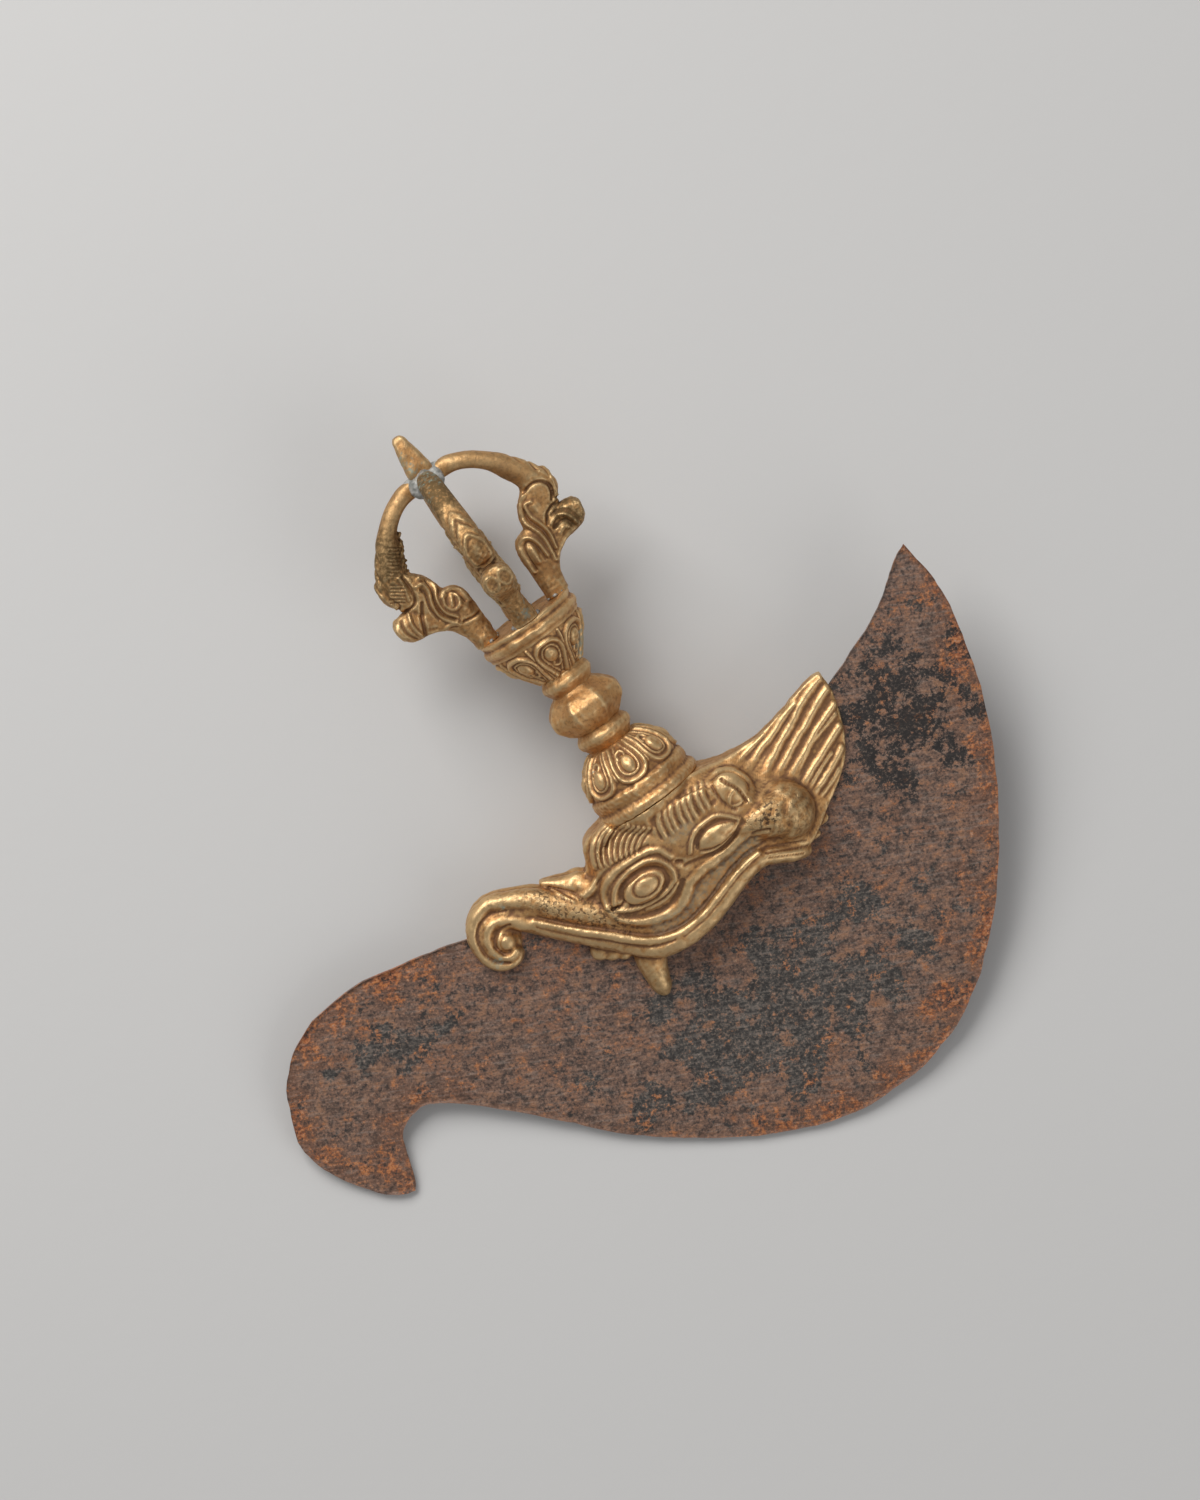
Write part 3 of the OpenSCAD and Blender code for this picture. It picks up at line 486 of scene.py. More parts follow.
def shell(points):
    """Closed skin over rings of points, the first and last ring closed to their middles."""
    rows, sides = points.shape[:2]
    index = np.arange(rows * sides).reshape(rows, sides)
    a, b = index[:-1], index[1:]
    faces = np.stack([a, np.roll(a, -1, 1), np.roll(b, -1, 1), b], -1).reshape(-1, 4).tolist()
    faces += [index[0][::-1].tolist(), index[-1].tolist()]
    return points.reshape(-1, 3), faces


def rod(rows, steps=5, sides=16):
    """Rounded bar along the smooth curve through the rows."""
    return bar(smooth_path(rows, steps), sides)


def lathe(profile, sides=96, outline=1.0):
    """Closed body from rows of height and radius, round unless it has an outline."""
    height, radius = np.asarray(profile, float).T
    side, up = circle(sides)
    points = np.zeros((len(height), sides, 3))
    points[..., 0] = radius[:, None] * outline * side
    points[..., 1] = height[:, None]
    points[..., 2] = -radius[:, None] * outline * up
    return shell(points)


def blob(centre, radii):
    """Egg of the given half sizes."""
    rings, sides = 14, 22
    lift = (np.arange(rings) + 0.5) / rings * math.pi
    side, up = circle(sides)
    points = np.zeros((rings, sides, 3))
    points[..., 0] = np.sin(lift)[:, None] * side
    points[..., 1] = np.sin(lift)[:, None] * up
    points[..., 2] = -np.cos(lift)[:, None]
    return shell(points * np.asarray(radii, float) + np.asarray(centre, float))


def blobs(rows):
    """An egg for each row of centre and half sizes."""
    return [blob(row[:3], row[3:]) for row in rows]


def mirrored(parts):
    """The parts, and their twins on the other side of the blade."""
    return parts + [(p * [1, 1, -1], [f[::-1] for f in faces]) for p, faces in parts]


def fused(parts, grain):
    """One skin round all the parts, as wax runs together, on a mesh of that grain."""
    points, faces, base = [], [], 0
    for p, f in parts:
        points.append(p)
        faces += [[i + base for i in face] for face in f]
        base += len(p)
    wax = bpy.data.meshes.new("wax")
    wax.from_pydata(np.vstack(points).tolist(), [], faces)
    body = bpy.data.objects.new("wax", wax)
    bpy.context.scene.collection.objects.link(body)
    melt = body.modifiers.new("melt", "REMESH")
    melt.mode = "VOXEL"
    melt.voxel_size = grain
    melted = body.evaluated_get(bpy.context.evaluated_depsgraph_get())
    done = bpy.data.meshes.new_from_object(melted)
    points = np.zeros(len(done.vertices) * 3)
    done.vertices.foreach_get("co", points)
    faces = np.zeros(len(done.loops), int)
    done.loops.foreach_get("vertex_index", faces)
    bpy.data.objects.remove(body)
    bpy.data.meshes.remove(wax)
    bpy.data.meshes.remove(done)
    return points.reshape(-1, 3), faces.reshape(-1, 4)


def gather(index, values, count):
    """Sum of the values at each index."""
    return np.stack([np.bincount(index, values[:, k], count) for k in range(values.shape[1])], 1)


def facing(points, faces):
    """Unit normal at each point of a mesh of four-sided faces."""
    p = points[faces]
    n = np.cross(p[:, 2] - p[:, 0], p[:, 3] - p[:, 1])
    total = sum(gather(faces[:, k], n, len(points)) for k in range(4))
    return total / (np.linalg.norm(total, axis=1)[:, None] + 1e-12)


def lifted(points, faces, lift):
    """The points, moved along the skin's normals."""
    return points + facing(points, faces) * lift[:, None]


def relaxed(points, faces, times, part=1.0):
    """The points, drawn towards the average of their neighbours that many times."""
    a = np.concatenate([faces[:, k] for k in range(4)])
    b = np.concatenate([faces[:, (k + 1) % 4] for k in range(4)])
    weight = np.bincount(a, minlength=len(points)) + np.bincount(b, minlength=len(points))
    for _ in range(times):
        around = gather(a, points[b], len(points)) + gather(b, points[a], len(points))
        points = points + part * (around / weight[:, None] - points)
    return points


def worn(points, faces):
    """Marks that say how deep each point lies in a groove, and how proud it stands on a ridge."""
    normal = facing(points, faces)
    near = ((relaxed(points, faces, 5) - points) * normal).sum(1)
    wide = ((relaxed(points, faces, 45) - points) * normal).sum(1)
    hollow = ease(near * 20 + wide * 0.6, 0.12, 1.4)
    crest = ease(-near * 22 - wide * 1.2, 0.15, 1.4)
    return {"hollow": hollow, "crest": crest}


def ridge(gap, half_width):
    """Rounded ridge, 1 on its line and 0 at its half width."""
    wave = 0.5 + 0.5 * np.cos(math.pi * np.minimum(gap / half_width, 1))
    return np.where(gap < half_width, wave, 0)


def on_cheek(path, rise):
    """Rows of place and half width, laid on the head's skin."""
    path = np.asarray(path, float)
    height = cheek(path[:, 0], path[:, 1])
    return np.c_[path[:, :2], height - 0.3 * rise, path[:, 2], np.full(len(path), rise)]


# Jaw and neck
STATIONS = 22
sections = []
for row in jaw_curve:
    v = np.linspace(row[1], row[2], STATIONS)
    h = cheek(np.full(STATIONS, row[0]), v)
    sections.append(np.c_[np.full(2 * STATIONS, row[0]), np.r_[v, v[::-1]], np.r_[h, -h[::-1]]])
neck = lathe([[0, 0.2], [0, 11.2], [-3, 10.8], [-8, 9.6], [-13, 7], [-13, 0.2]], 64)
head_parts = [shell(np.array(sections)), neck]

# Rolled lip, from the ball along the jaw and up the trunk into the scroll
lip_line = [
    [20, -26.4, 3.2, 1.3, 2], [17.8, -25.4, 4.6, 1.7, 2.2], [15, -23.6, 5.6, 1.85, 2.3],
    [12, -22.1, 6.4, 1.8, 2.2], [8, -22.2, 6.7, 1.85, 2.2], [4, -23.3, 6.7, 1.95, 2.2],
    [0, -24.7, 6.4, 2.05, 2.2], [-4, -25.9, 6.1, 2.1, 2.2], [-8, -26.5, 5.8, 2.1, 2.2],
    [-12, -26.4, 5.5, 2.1, 2.2], [-15.5, -25.5, 5, 2.05, 2.2], [-18.2, -23.7, 4.5, 1.95, 2.2],
    [-21, -20.9, 3.9, 1.9, 2.4], [-24.6, -17.4, 3.3, 1.9, 2.5], [-28.2, -13.6, 2.7, 1.9, 2.6],
    [-31.6, -9.9, 2.2, 2, 2.6], [-34.8, -6.3, 2, 2, 2.6], [-37.6, -3.8, 1.8, 1.8, 2.6],
    [-40.2, -2.7, 1.8, 1.6, 2.6], [-42.6, -3.9, 1.8, 1.4, 2.5], [-43.6, -6.6, 1.8, 1.25, 2.5],
    [-42.9, -9.1, 1.8, 1.15, 2.4], [-41, -10.4, 1.8, 1.1, 2.3], [-39.2, -9.8, 1.8, 0.9, 2.2]]
trunk_line = [
    [-13, -20, 4.6, 1.4, 2.6], [-18, -16.6, 4, 2.4, 3], [-21.5, -13.2, 3.6, 3, 3.1],
    [-25, -9.8, 3.1, 3.1, 3.1], [-28.2, -6.6, 2.6, 3, 3.1], [-31.5, -3.4, 2, 2.7, 2.9],
    [-35, -1, 1.6, 2.1, 2.8], [-39, 0.8, 1.4, 1.75, 2.6], [-42.8, -0.1, 1.4, 1.6, 2.5],
    [-45.2, -2.9, 1.4, 1.4, 2.4], [-46, -6.4, 1.4, 1.15, 2.4], [-45.2, -9.5, 1.4, 1.15, 2.3],
    [-43, -11.4, 1.4, 1.1, 2.2], [-40.4, -11.7, 1.4, 0.9, 2], [-38.6, -10.6, 1.4, 0.6, 1.6]]
second_ridge = [
    [-33.4, -6.6, 2.6, 0.7, 2.2], [-30.5, -9.7, 3.1, 1.1, 2.2], [-27, -13.2, 3.8, 1.25, 2.2],
    [-23, -16.9, 4.6, 1.35, 2.2], [-20, -19.7, 5.2, 1.35, 2.1], [-17.4, -22, 5.7, 1.25, 1.9],
    [-14.4, -23.9, 6, 1.1, 1.6], [-10, -25.1, 6.4, 0.95, 1.4], [-5, -24.8, 6.8, 0.9, 1.4],
    [0, -23.4, 7.2, 0.9, 1.5], [4, -22, 7.5, 0.9, 1.6], [8, -20.9, 7.7, 0.85, 1.6],
    [12, -20.5, 7.4, 0.7, 1.5]]
# Metal that fills the valleys between trunk and lip
filling = [
    [[-20, -15.9, 4.2, 1.5, 2.3], [-24, -12.9, 3.6, 1.5, 2.1], [-28, -9, 2.9, 1.5, 2.2],
    [-32, -5.4, 2.4, 1.5, 2.1], [-35.2, -3.3, 2, 1.4, 2], [-38.5, -1.2, 1.7, 1.2, 2],
    [-41.6, -1.4, 1.6, 1.1, 2], [-44, -3.4, 1.6, 1, 2], [-44.9, -6.5, 1.6, 0.9, 1.9],
    [-44.1, -9.3, 1.6, 0.9, 1.8], [-42, -10.9, 1.6, 0.8, 1.6]], [[-36.5, -5.2, 1.6, 1.1, 2],
    [-39.4, -4.7, 1.6, 1, 2.1], [-41.6, -6.2, 1.6, 1, 2.1], [-41.4, -8.3, 1.6, 0.9, 2],
    [-40, -8.8, 1.6, 0.7, 1.8]]]
cheek_line = [
    [17, -14.4, 0.9], [12, -15.2, 1.3], [8, -16, 1.3], [4, -16.5, 1.3], [0, -16.7, 1.3],
    [-2.4, -17.3, 1.3], [-4.2, -18.6, 1.3], [-6.6, -20.1, 1.3], [-9.4, -20.5, 1.3],
    [-13.4, -19.6, 1.2], [-16.4, -17.6, 1.1], [-18.8, -15, 0.9], [-19.4, -12.6, 0.7]]
brow_curl = [
    [9.9, -5.6, 0.9], [11, -3.9, 1.1], [13.6, -3.2, 1.2], [16, -4.2, 1.2], [17.4, -6.6, 1.2],
    [17.4, -9, 1.1], [16.2, -10.6, 0.8]]
raised = [rod(line) for line in (*filling, lip_line, trunk_line, second_ridge)]
raised += [rod([
    [-18, -19, 1.4, 3.4, 3.4], [-27, -11, 1, 4.2, 3.6], [-34, -4, 0.6, 3.2, 2.6],
    [-38, -2.2, 0.6, 2.8, 2.4], [-42, -3.4, 0.6, 2.6, 2.2]], 4)]
raised += blobs([[-41.2, -6.2, 0.6, 4.7, 4.9, 2.9], [-40.2, -7.2, 2.2, 2.3, 2.3, 2.6],
                 [-38.6, -7.6, 0.8, 1.5, 2.4, 2.2]])

# Barb behind the trunk, with a folded leaf in front of it
raised += [rod(line) for line in (
    [[-17.5, -9.6, 3, 2, 3], [-21.5, -6.2, 2, 2, 2.8], [-25, -3.7, 1.3, 1.4, 2],
     [-28, -1.6, 0.8, 0.5, 1.1]],
    [[-18, -7, 4.6, 0.8, 1.6], [-20.2, -8, 4.3, 1.1, 1.8], [-23, -8, 3.6, 1.1, 1.7],
     [-24.7, -6.4, 3, 0.9, 1.5], [-26, -4, 1.9, 0.45, 1]])]
raised += blobs([[-22.4, -5.8, 2.2, 3.4, 2.6, 2.3]])

# Mane above the eye, snout with its ball at the jaw's end, and the brow's bolster and curl
raised += [
    rod([[-15.8, -4.6, 2.6, 2, 4.6], [-13.8, -1.2, 2.8, 1.9, 4.4], [-9.6, 0.3, 3.4, 1.8, 4.4]]),
    blob([21, -17, 5.3], [5.7, 6.1, 5.3]),
    rod([[10.5, -14.2, 7.4, 1.2, 2.4], [12.6, -14.2, 6.9, 2.5, 3.8], [15.4, -14.8, 6.4, 3.9, 5],
         [18.2, -15.8, 5.8, 4.9, 5.5], [20.8, -17, 5.4, 5.5, 5.4]], 5, 24),
    rod(on_cheek([[-1.4, -4.6, 2.4], [2, -4.4, 2.6], [6, -4.6, 2.6], [9.8, -5.2, 2.4]], 0.9)),
    rod(on_cheek(brow_curl, 1)), blob([13.9, -6.9, cheek(13.9, -6.9) - 0.3], [4, 4.1, 2.2])]

# Fang, and metal that ran past the lip
raised += [rod([[-17.8, -24.6, 1.9, 3.2, 2.8], [-18.7, -27.4, 1.8, 3.2, 2.7],
                [-19.4, -30.2, 1.7, 2.6, 2.5], [-19.9, -32.8, 1.5, 2.15, 2.1],
                [-20.1, -34, 1.3, 1.6, 1.6]])]
raised += blobs([
    [-25.9, -19.7, 1.7, 2.2, 2.1, 1.5], [-24, -21.5, 1.7, 2, 1.7, 1.4],
    [-22.2, -23.1, 1.6, 1.4, 1.3, 1.2], [13.6, -23.8, 2.4, 2.2, 1.5, 1.8],
    [25.4, -23.2, 1.6, 1.8, 1.2, 1], [22.6, -25.2, 1.5, 1.4, 0.8, 0.9]])

# Ridge that parts the eyes from the hollow of the cheek, and the eyeballs
raised += [rod(on_cheek(cheek_line, 1.15)),
           blob([-10.6, -12.8, cheek(-10.6, -12.8)], [4.9, 3.1, 1.5]),
           blob([7.1, -12.1, cheek(7.1, -12.1)], [4.4, 2.1, 1.25])]
head, head_faces = fused(head_parts + mirrored(raised), HEAD_GRAIN)
head = relaxed(head, head_faces, 4, 0.6)
normal = facing(head, head_faces)
u, v, w = head.T
open_side = ease(np.abs(normal[:, 2]), 0.15, 0.6)
cut = np.zeros(len(head))

# Lines worked into the wax: height, half width, then the points. First the big eye with its lids
scribed = [
    (-0.35, 0.6, [[-18.4, -7.6], [-16.4, -6.5], [-13, -5.9], [-9, -5.9], [-5.4, -6.2]]),
    (0.45, 1, [[-19.2, -12.4], [-18.5, -10], [-16.8, -8.3], [-13.4, -7.2], [-9.5, -7], [-6, -7.2],
        [-3.8, -8.4], [-2.9, -10.6]]),
    (-0.2, 0.4, [[-15.4, -8.9], [-12.6, -8], [-9, -7.7], [-6.2, -8.1]]),
    (0.5, 0.75, [[-17.9, -12.7], [-16.6, -10.9], [-14.6, -9.5], [-12.2, -8.7], [-9.4, -8.5],
        [-7, -8.8], [-5.2, -10], [-4.3, -11.8], [-4.1, -13.6], [-4.9, -15.3]]),
    (-0.42, 0.9, [[-16, -12.4], [-14.4, -10.6], [-12, -9.9], [-9.2, -9.8], [-7, -10.6],
        [-5.7, -12.2], [-5.9, -14], [-7.2, -15.3]]),
    (-0.7, 0.6, [[-18.7, -13.2], [-17, -13.6], [-15.8, -13.2]]),
    (0.5, 0.7, [[-18, -14], [-16, -15.2], [-13.8, -16], [-11, -16.4], [-8, -16.3], [-5.6, -15.5]]),
    (-0.2, 0.4, [[-13.8, -15.2], [-11, -15.7], [-8, -15.6]]),
    (0.3, 0.5, [[-13, -17.1], [-10, -17.6], [-7.4, -17.3], [-5, -16.2]]),
    (-0.3, 0.9, [[-18.4, -15.4], [-16, -17.2], [-13, -18.4], [-9.4, -18.9], [-6, -18],
        [-3.8, -16.4]])]
# The small eye
scribed += [
    (0.5, 0.62, [[0.8, -12.2], [2.4, -10.3], [4.4, -9.1], [7, -8.7], [9.2, -9], [10.9, -10.3],
        [12.3, -12]]),
    (-0.3, 0.65, [[2.6, -12.2], [3.7, -10.8], [6, -10], [8.4, -10.1], [10.4, -11], [12, -12.2]]),
    (0.35, 0.5, [[2.6, -13.6], [5, -14.6], [8.4, -14.2], [11, -13.2], [12.6, -12.2]]),
    (-0.28, 0.75, [[-1.6, -13.8], [2, -14.6], [6, -15.4], [10, -14.7], [13, -13.2]]),
    (-0.6, 0.8, [[-2.4, -12.4], [-1.8, -12.8]])]
# Crack and flat of the brow's curl, nostril, and the lines beside the lip
scribed += [
    (-0.7, 0.42, [[14.2, -3.6], [14.7, -5], [15.5, -6.3], [15.9, -8], [15.8, -10.2]]),
    (0.3, 0.45, [[12.6, -8.8], [13.6, -7.4], [15.2, -6.8]]),
    (0.25, 0.4, [[12.6, -9.2], [14, -9.7], [15.2, -9.6]]),
    (-0.4, 0.45, [[11.9, -3.9], [11.7, -6], [12.1, -8.2], [13.2, -10.4]]),
    (-0.6, 0.6, [[13.2, -16.3], [14.6, -16.7], [15.8, -17.1], [16.3, -17.4]]),
    (0.2, 0.6, [[13.2, -17.8], [15, -18.6], [16.8, -18.6], [17.9, -17.6]]),
    (-0.15, 0.45, [[-33.4, -8.1], [-30, -11.9], [-26.6, -15.2], [-21.6, -19.7], [-18.4, -22.9],
        [-15.4, -24.6], [-12, -25.6]]),
    (-0.1, 0.4, [[-10, -26], [-4, -25.3], [0, -24], [4, -22.6], [8, -21.5], [12, -21]]),
    (-0.22, 0.55, [[-32, -6.6], [-28.6, -10.3], [-24, -14.5], [-20, -18], [-16.6, -21.2],
        [-13, -23.2], [-8, -24], [-2, -22.7], [2, -21.2], [6, -19.9], [10, -19.2], [14, -19.4]]),
    (-0.25, 0.5, [[-36.6, -1.9], [-39.4, -0.75], [-42.2, -1.2], [-44.3, -3], [-45.1, -6.4],
        [-44.2, -9.4], [-42, -11.1]]),
    (-0.25, 0.5, [[-37.5, -4.6], [-39.4, -4.4], [-41.4, -5.2], [-42.5, -7], [-41.9, -9]]),
    (-0.2, 0.4, [[-38.2, -6.8], [-39.6, -5.6], [-41.2, -6.4], [-41.6, -8], [-40.4, -9]]),
    (-0.35, 0.42, [[-27, -3], [-25.2, -4.6], [-23.4, -6.4], [-22.6, -8.6]]),
    (0.32, 0.45, [[-26.6, -3.8], [-25.4, -6], [-24.2, -8]]),
    (-0.28, 0.35, [[13, -21.3], [16, -22.9], [20.4, -25.6]]),
    (-0.22, 0.3, [[13.4, -20.4], [17, -22.2], [20.8, -24.4]]),
    (-0.22, 0.3, [[12.8, -22.4], [15.6, -24], [19, -26.2]])]
for rise, half_width, line in scribed:
    gap, _ = from_path(u, v, smooth_path(line, 4))
    cut += rise * ridge(gap, half_width)
pupil = np.hypot((u + 10.2) / 2.7, (v + 12.8) / 1.75)
cut += 0.45 * np.sqrt(np.clip(1 - pupil ** 2, 0, 1)) - 0.25 * ridge(np.abs(pupil - 1.08) * 2, 0.45)

# Mane: strands combed back over the bump, each curve between the outermost and the innermost
first = np.array([[-16.8, -4.6], [-15.5, -1.6], [-13, 0.8], [-9.4, 1.8]])
last = np.array([[-8, -6], [-6.9, -5], [-5.3, -4.1], [-3.2, -3.5]])
STRANDS = 9
for k in range(STRANDS):
    strand = smooth_path(first + (last - first) * (k / (STRANDS - 1)), 6)
    gap, _ = from_path(u, v, strand)
    cut += (0.42 + 0.08 * math.sin(3.7 * k)) * ridge(gap, 0.6)
    gap, _ = from_path(u, v, strand + [0.5, -0.5])
    cut -= 0.2 * ridge(gap, 0.32)

# Brow: round ribs side by side, each leaning over at its top
BROW_RIBS = 8
in_brow = ease(v, -7.6, -6.2) * ease(-v, 1.3, 2.6) * ease(u, -3, -1.8) * ease(-u, -11.4, -10.4)
ribs = np.zeros(len(head))
for k in range(BROW_RIBS):
    foot_u = -0.9 + 1.5 * k + 0.16 * math.sin(2.3 * k)
    rib = [[foot_u - 0.5, -7.4], [foot_u - 0.35, -5.4], [foot_u + 0.2, -3.4], [foot_u + 1.0, -2.2]]
    gap, _ = from_path(u, v, smooth_path(rib, 4))
    ribs = np.maximum(ribs, np.sqrt(ridge(gap, 0.82)))
cut += in_brow * (0.55 * ribs - 0.3)

# Fin: sharp ribs that fan out to the edge, uneven as the founder cut them
fin_u = u > 14
fu, fv = u[fin_u], v[fin_u]
fin_cut = np.zeros(fin_u.sum())
for width, rise, line in (
        (0.6, 0.45, [[18, -3.6], [22, -3.1], [25.6, -2.4]]),
        (0.85, 0.75, [[19, -6.2], [24, -4.2], [27.2, -3.4], [30.6, -1.9], [34.4, -0.9]]),
        (1, 1, [[20, -9.2], [23.6, -7.6], [27.6, -5.5], [31.6, -3.7], [35.2, -1.6], [38, -0.5],
                [41.2, 0.7]]),
        (0.95, 0.95, [[22.6, -10.8], [27, -8.7], [30.2, -7], [34.2, -5.3], [37.7, -3.5],
                      [41.2, -2.1]]),
        (0.8, 0.85, [[24.6, -12.5], [28, -11], [31.2, -9.5], [35.2, -7.5], [40.8, -5.5]]),
        (0.6, 0.6, [[25.6, -12.9], [30, -10.7], [33.2, -9], [39.8, -7.2]]),
        (0.9, 0.9, [[25.6, -15.6], [30, -13.5], [33.2, -12.2], [36.2, -10.9], [39, -9.8]]),
        (0.6, 0.55, [[27, -16.4], [31.6, -14.3], [34.6, -13.2]]),
        (0.85, 0.85, [[26.6, -18.2], [31, -16.5], [34.2, -15.1], [37, -13.6]]),
        (0.6, 0.5, [[27.4, -19.4], [31.6, -18], [34, -16.9]])):
    gap, run = from_path(fu, fv, smooth_path(line, 4))
    fin_cut = np.maximum(fin_cut, rise * ridge(gap, 1.2 * width) ** 0.75 * ease(run, 0, 0.3))
ball_gap = np.hypot((u - 20.9) / 5.5, (v + 17) / 6)
on_fin = ease(ball_gap, 1.02, 1.15) * ease(u, 17, 21) * ease(-v, -0.9, -0.2)
cut[fin_u] += on_fin[fin_u] * (0.72 * fin_cut - 0.22)

# Pits left by the mould on the trunk, and on the snout where the ball begins
trunk_gap, _ = from_path(u, v, smooth_path(trunk_line, 4))
field = ease(-trunk_gap, -3.4, -2.2) * ease(-u, 14, 19)
field *= 0.35 * ease(u, -44, -38) + 0.65 * ease(u, -34, -28)
snout_field = ease(-np.hypot((u - 16.6) / 4.4, (v + 14.4) / 2.8), -1.1, -0.6)
pitted = 0.8 * field + 0.75 * snout_field + 0.4 * ease(-ball_gap, -1.1, -0.85)
pitted = np.clip(pitted, 0, 1) * open_side
on_ball = ease(-ball_gap, -1.2, -0.8)
cut *= open_side
cut += 0.05 * wobble(head, 3.2, 52) + 0.025 * wobble(head, 1.1, 53)
cut += on_ball * (0.1 * wobble(head, 2.6, 54) - 0.1 * np.clip(wobble(head, 0.9, 55) - 1.3, 0, 1))
head = head + normal * cut[:, None]

# Cast brass, handled for years: satin, brighter where it stands proud, brown and a little purple in
# the grooves, with the mould's grain, fine scratches and green copper salts in a few corners
brass, tree = material("worn_cast_brass")
place, marks = readings(tree, ("hollow", "crest", "green", "pits", "dull"))
cloud = noise(tree, place, 5)
speck = noise(tree, place, 0.8, 5.0, 0.65)
sand = noise(tree, place, 0.3, 3.0)
dimple = noise(tree, place, 0.75, 2.0)
scratch = strokes_of(tree, place, (0.3, 0.2, 0.9), (0.003, 0.0003, 0.001), 3.0)
grime = kept(tree, marks["hollow"], 0.72, kept(tree, cloud, 0.7, -0.32))
dull_at = kept(tree, marks["dull"], above(tree, speck, 0.42, 0.3))
green_at = kept(tree, marks["green"], above(tree, speck, 0.45, 0.3))
pit_at = kept(tree, marks["pits"], above(tree, dimple, 0.56, 0.06))
gold = ramp(tree, cloud, [(0.32, "#b18253"), (0.48, "#c69660"), (0.62, "#d6a972")])
gold = tinted(tree, gold, [(above(tree, speck, 0.57, 0.1), 0.5, "#8a6848")])
patina = ramp(tree, speck, [(0.36, "#543e33"), (0.5, "#725040"), (0.64, "#8c684b")])
salts = ramp(tree, speck, [(0.4, "#53695f"), (0.6, "#8aa094")])
colour = tinted(tree, mix(tree, grime, gold, patina), (
    (marks["crest"], 0.6, "#e4c694"), (dull_at, 0.9, "#6d593b"), (green_at, 0.7, salts),
    (pit_at, 0.8, "#3b2d28")))
rough = kept(tree, speck, 0.28, 0.38)
for at, change in ((grime, 0.2), (marks["crest"], -0.08), (dull_at, 0.12)):
    rough = kept(tree, at, change, rough)
tooth = kept(tree, scratch, 0.3, kept(tree, sand, 0.25, kept(tree, speck, 0.45)))
tooth = kept(tree, pit_at, -0.6, tooth)
surface(tree, colour, rough, weighed(tree, green_at, -0.7, 0.9), tooth, 0.7, 0.00018)


def cast(name, points, faces, node, spots=(), green=0.0, pits=0.0, dull=0.0):
    """A brass piece with its wear, green spots given as place and radius, its pits and tarnish."""
    marks = worn(points, faces)
    for key, value in (("green", green), ("pits", pits), ("dull", dull)):
        marks[key] = np.full(len(points), value)
    for *spot, size in spots:
        gap = np.linalg.norm(points - spot, axis=1) / size
        salt = ease(-gap + 0.5 * wobble(points, 0.9, 71), -1.0, -0.35)
        marks["green"] = np.maximum(marks["green"], salt)
    piece = make(name, points, faces.tolist(), brass, marks)
    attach(piece, "root")
    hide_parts(node)


gap, _ = from_path(u, v, [[12, -17.8], [4, -18.8], [-2, -20.8], [-8, -22.4], [-13, -21.4]])
tinge = 0.5 * ease(-gap, -2.6, -0.8)
tinge += 0.4 * ease(-np.hypot((u - 1.6) / 3.5, (v + 7.6) / 1.4), -1.2, -0.6)
dull = 0.25 * on_ball + 0.25 * ease(-v, 28, 30) * ease(-u, 12, 15)
cast("makara_casting", head, head_faces, "makara_head",
     [(-43.9, -9.4, 3.4, 1.3), (-36.6, -0.6, 4.2, 0.7), (-12.8, -1, 6, 0.6)], tinge, pitted, dull)

# ---- Lotus bell ----
# Brass bell seated on the head: banded foot, and eight petals round its dome, broad end down, each
# with a boss in a spiral line. Turned first, then chased by raising the mesh.
STEM_GRAIN = 0.2
PETALS = 8
SECTOR = 2 * math.pi / PETALS


def turned_body(profile, sides=96, outline=1.0):
    """Skin of a body turned to that profile, its arrises a little softened."""
    points, faces = fused([lathe(profile, sides, outline)], STEM_GRAIN)
    return relaxed(points, faces, 3, 0.6), faces


def in_sector(points, start):
    """Angle round the stem, from the middle of the nearest of the eight sectors."""
    angle = np.arctan2(points[:, 0], points[:, 2]) - start
    return (angle + SECTOR / 2) % SECTOR - SECTOR / 2


def chased(across, along, petal, boss, curl):
    """Relief of one petal: nested outlines, a boss with a curl round it."""
    relief = np.zeros(len(across))
    for outline, half_width, height in petal:
        gap, _ = from_path(np.abs(across), along, smooth_path(outline))
        relief = np.maximum(relief, height * ridge(gap, half_width))
    share = np.hypot((across - boss[0]) / boss[2], (along - boss[1]) / boss[3])
    relief = np.maximum(relief, 0.85 * np.sqrt(np.clip(1 - share ** 2, 0, 1)))
    gap, _ = from_path(across, along, smooth_path(curl))
    return np.maximum(relief, 0.38 * ridge(gap, 0.5))


def petalled(name, node, profile, start, petal, boss, curl, fades, seeds, spots):
    """Turned piece with eight chased petals, the first with its middle at the start's angle.

    The fades tell how veins, petals and the ground round them thin out with height.
    """
    points, faces = turned_body(profile)
    angle = in_sector(points, start)
    radius = np.hypot(points[:, 0], points[:, 2])
    across, inward = radius * angle, radius * (SECTOR / 2 - np.abs(angle))
    along = points[:, 1]
    vein, whole, ground = (fade(along) for fade in fades)
    relief = chased(across, along, petal, boss, curl)
    relief = np.maximum(relief, 0.5 * ridge(inward, 0.5) * vein)
    outer = ease(radius, 4, 5)
    lift = (relief * whole - 0.14 * ground) * outer
    lift += 0.05 * wobble(points, 3, seeds[0]) + 0.03 * wobble(points, 1.1, seeds[1])
    lift -= 0.1 * np.clip(wobble(points, 0.7, seeds[2]) - 1.6, 0, 1)
    cast(name, lifted(points, faces, lift), faces, node, spots)


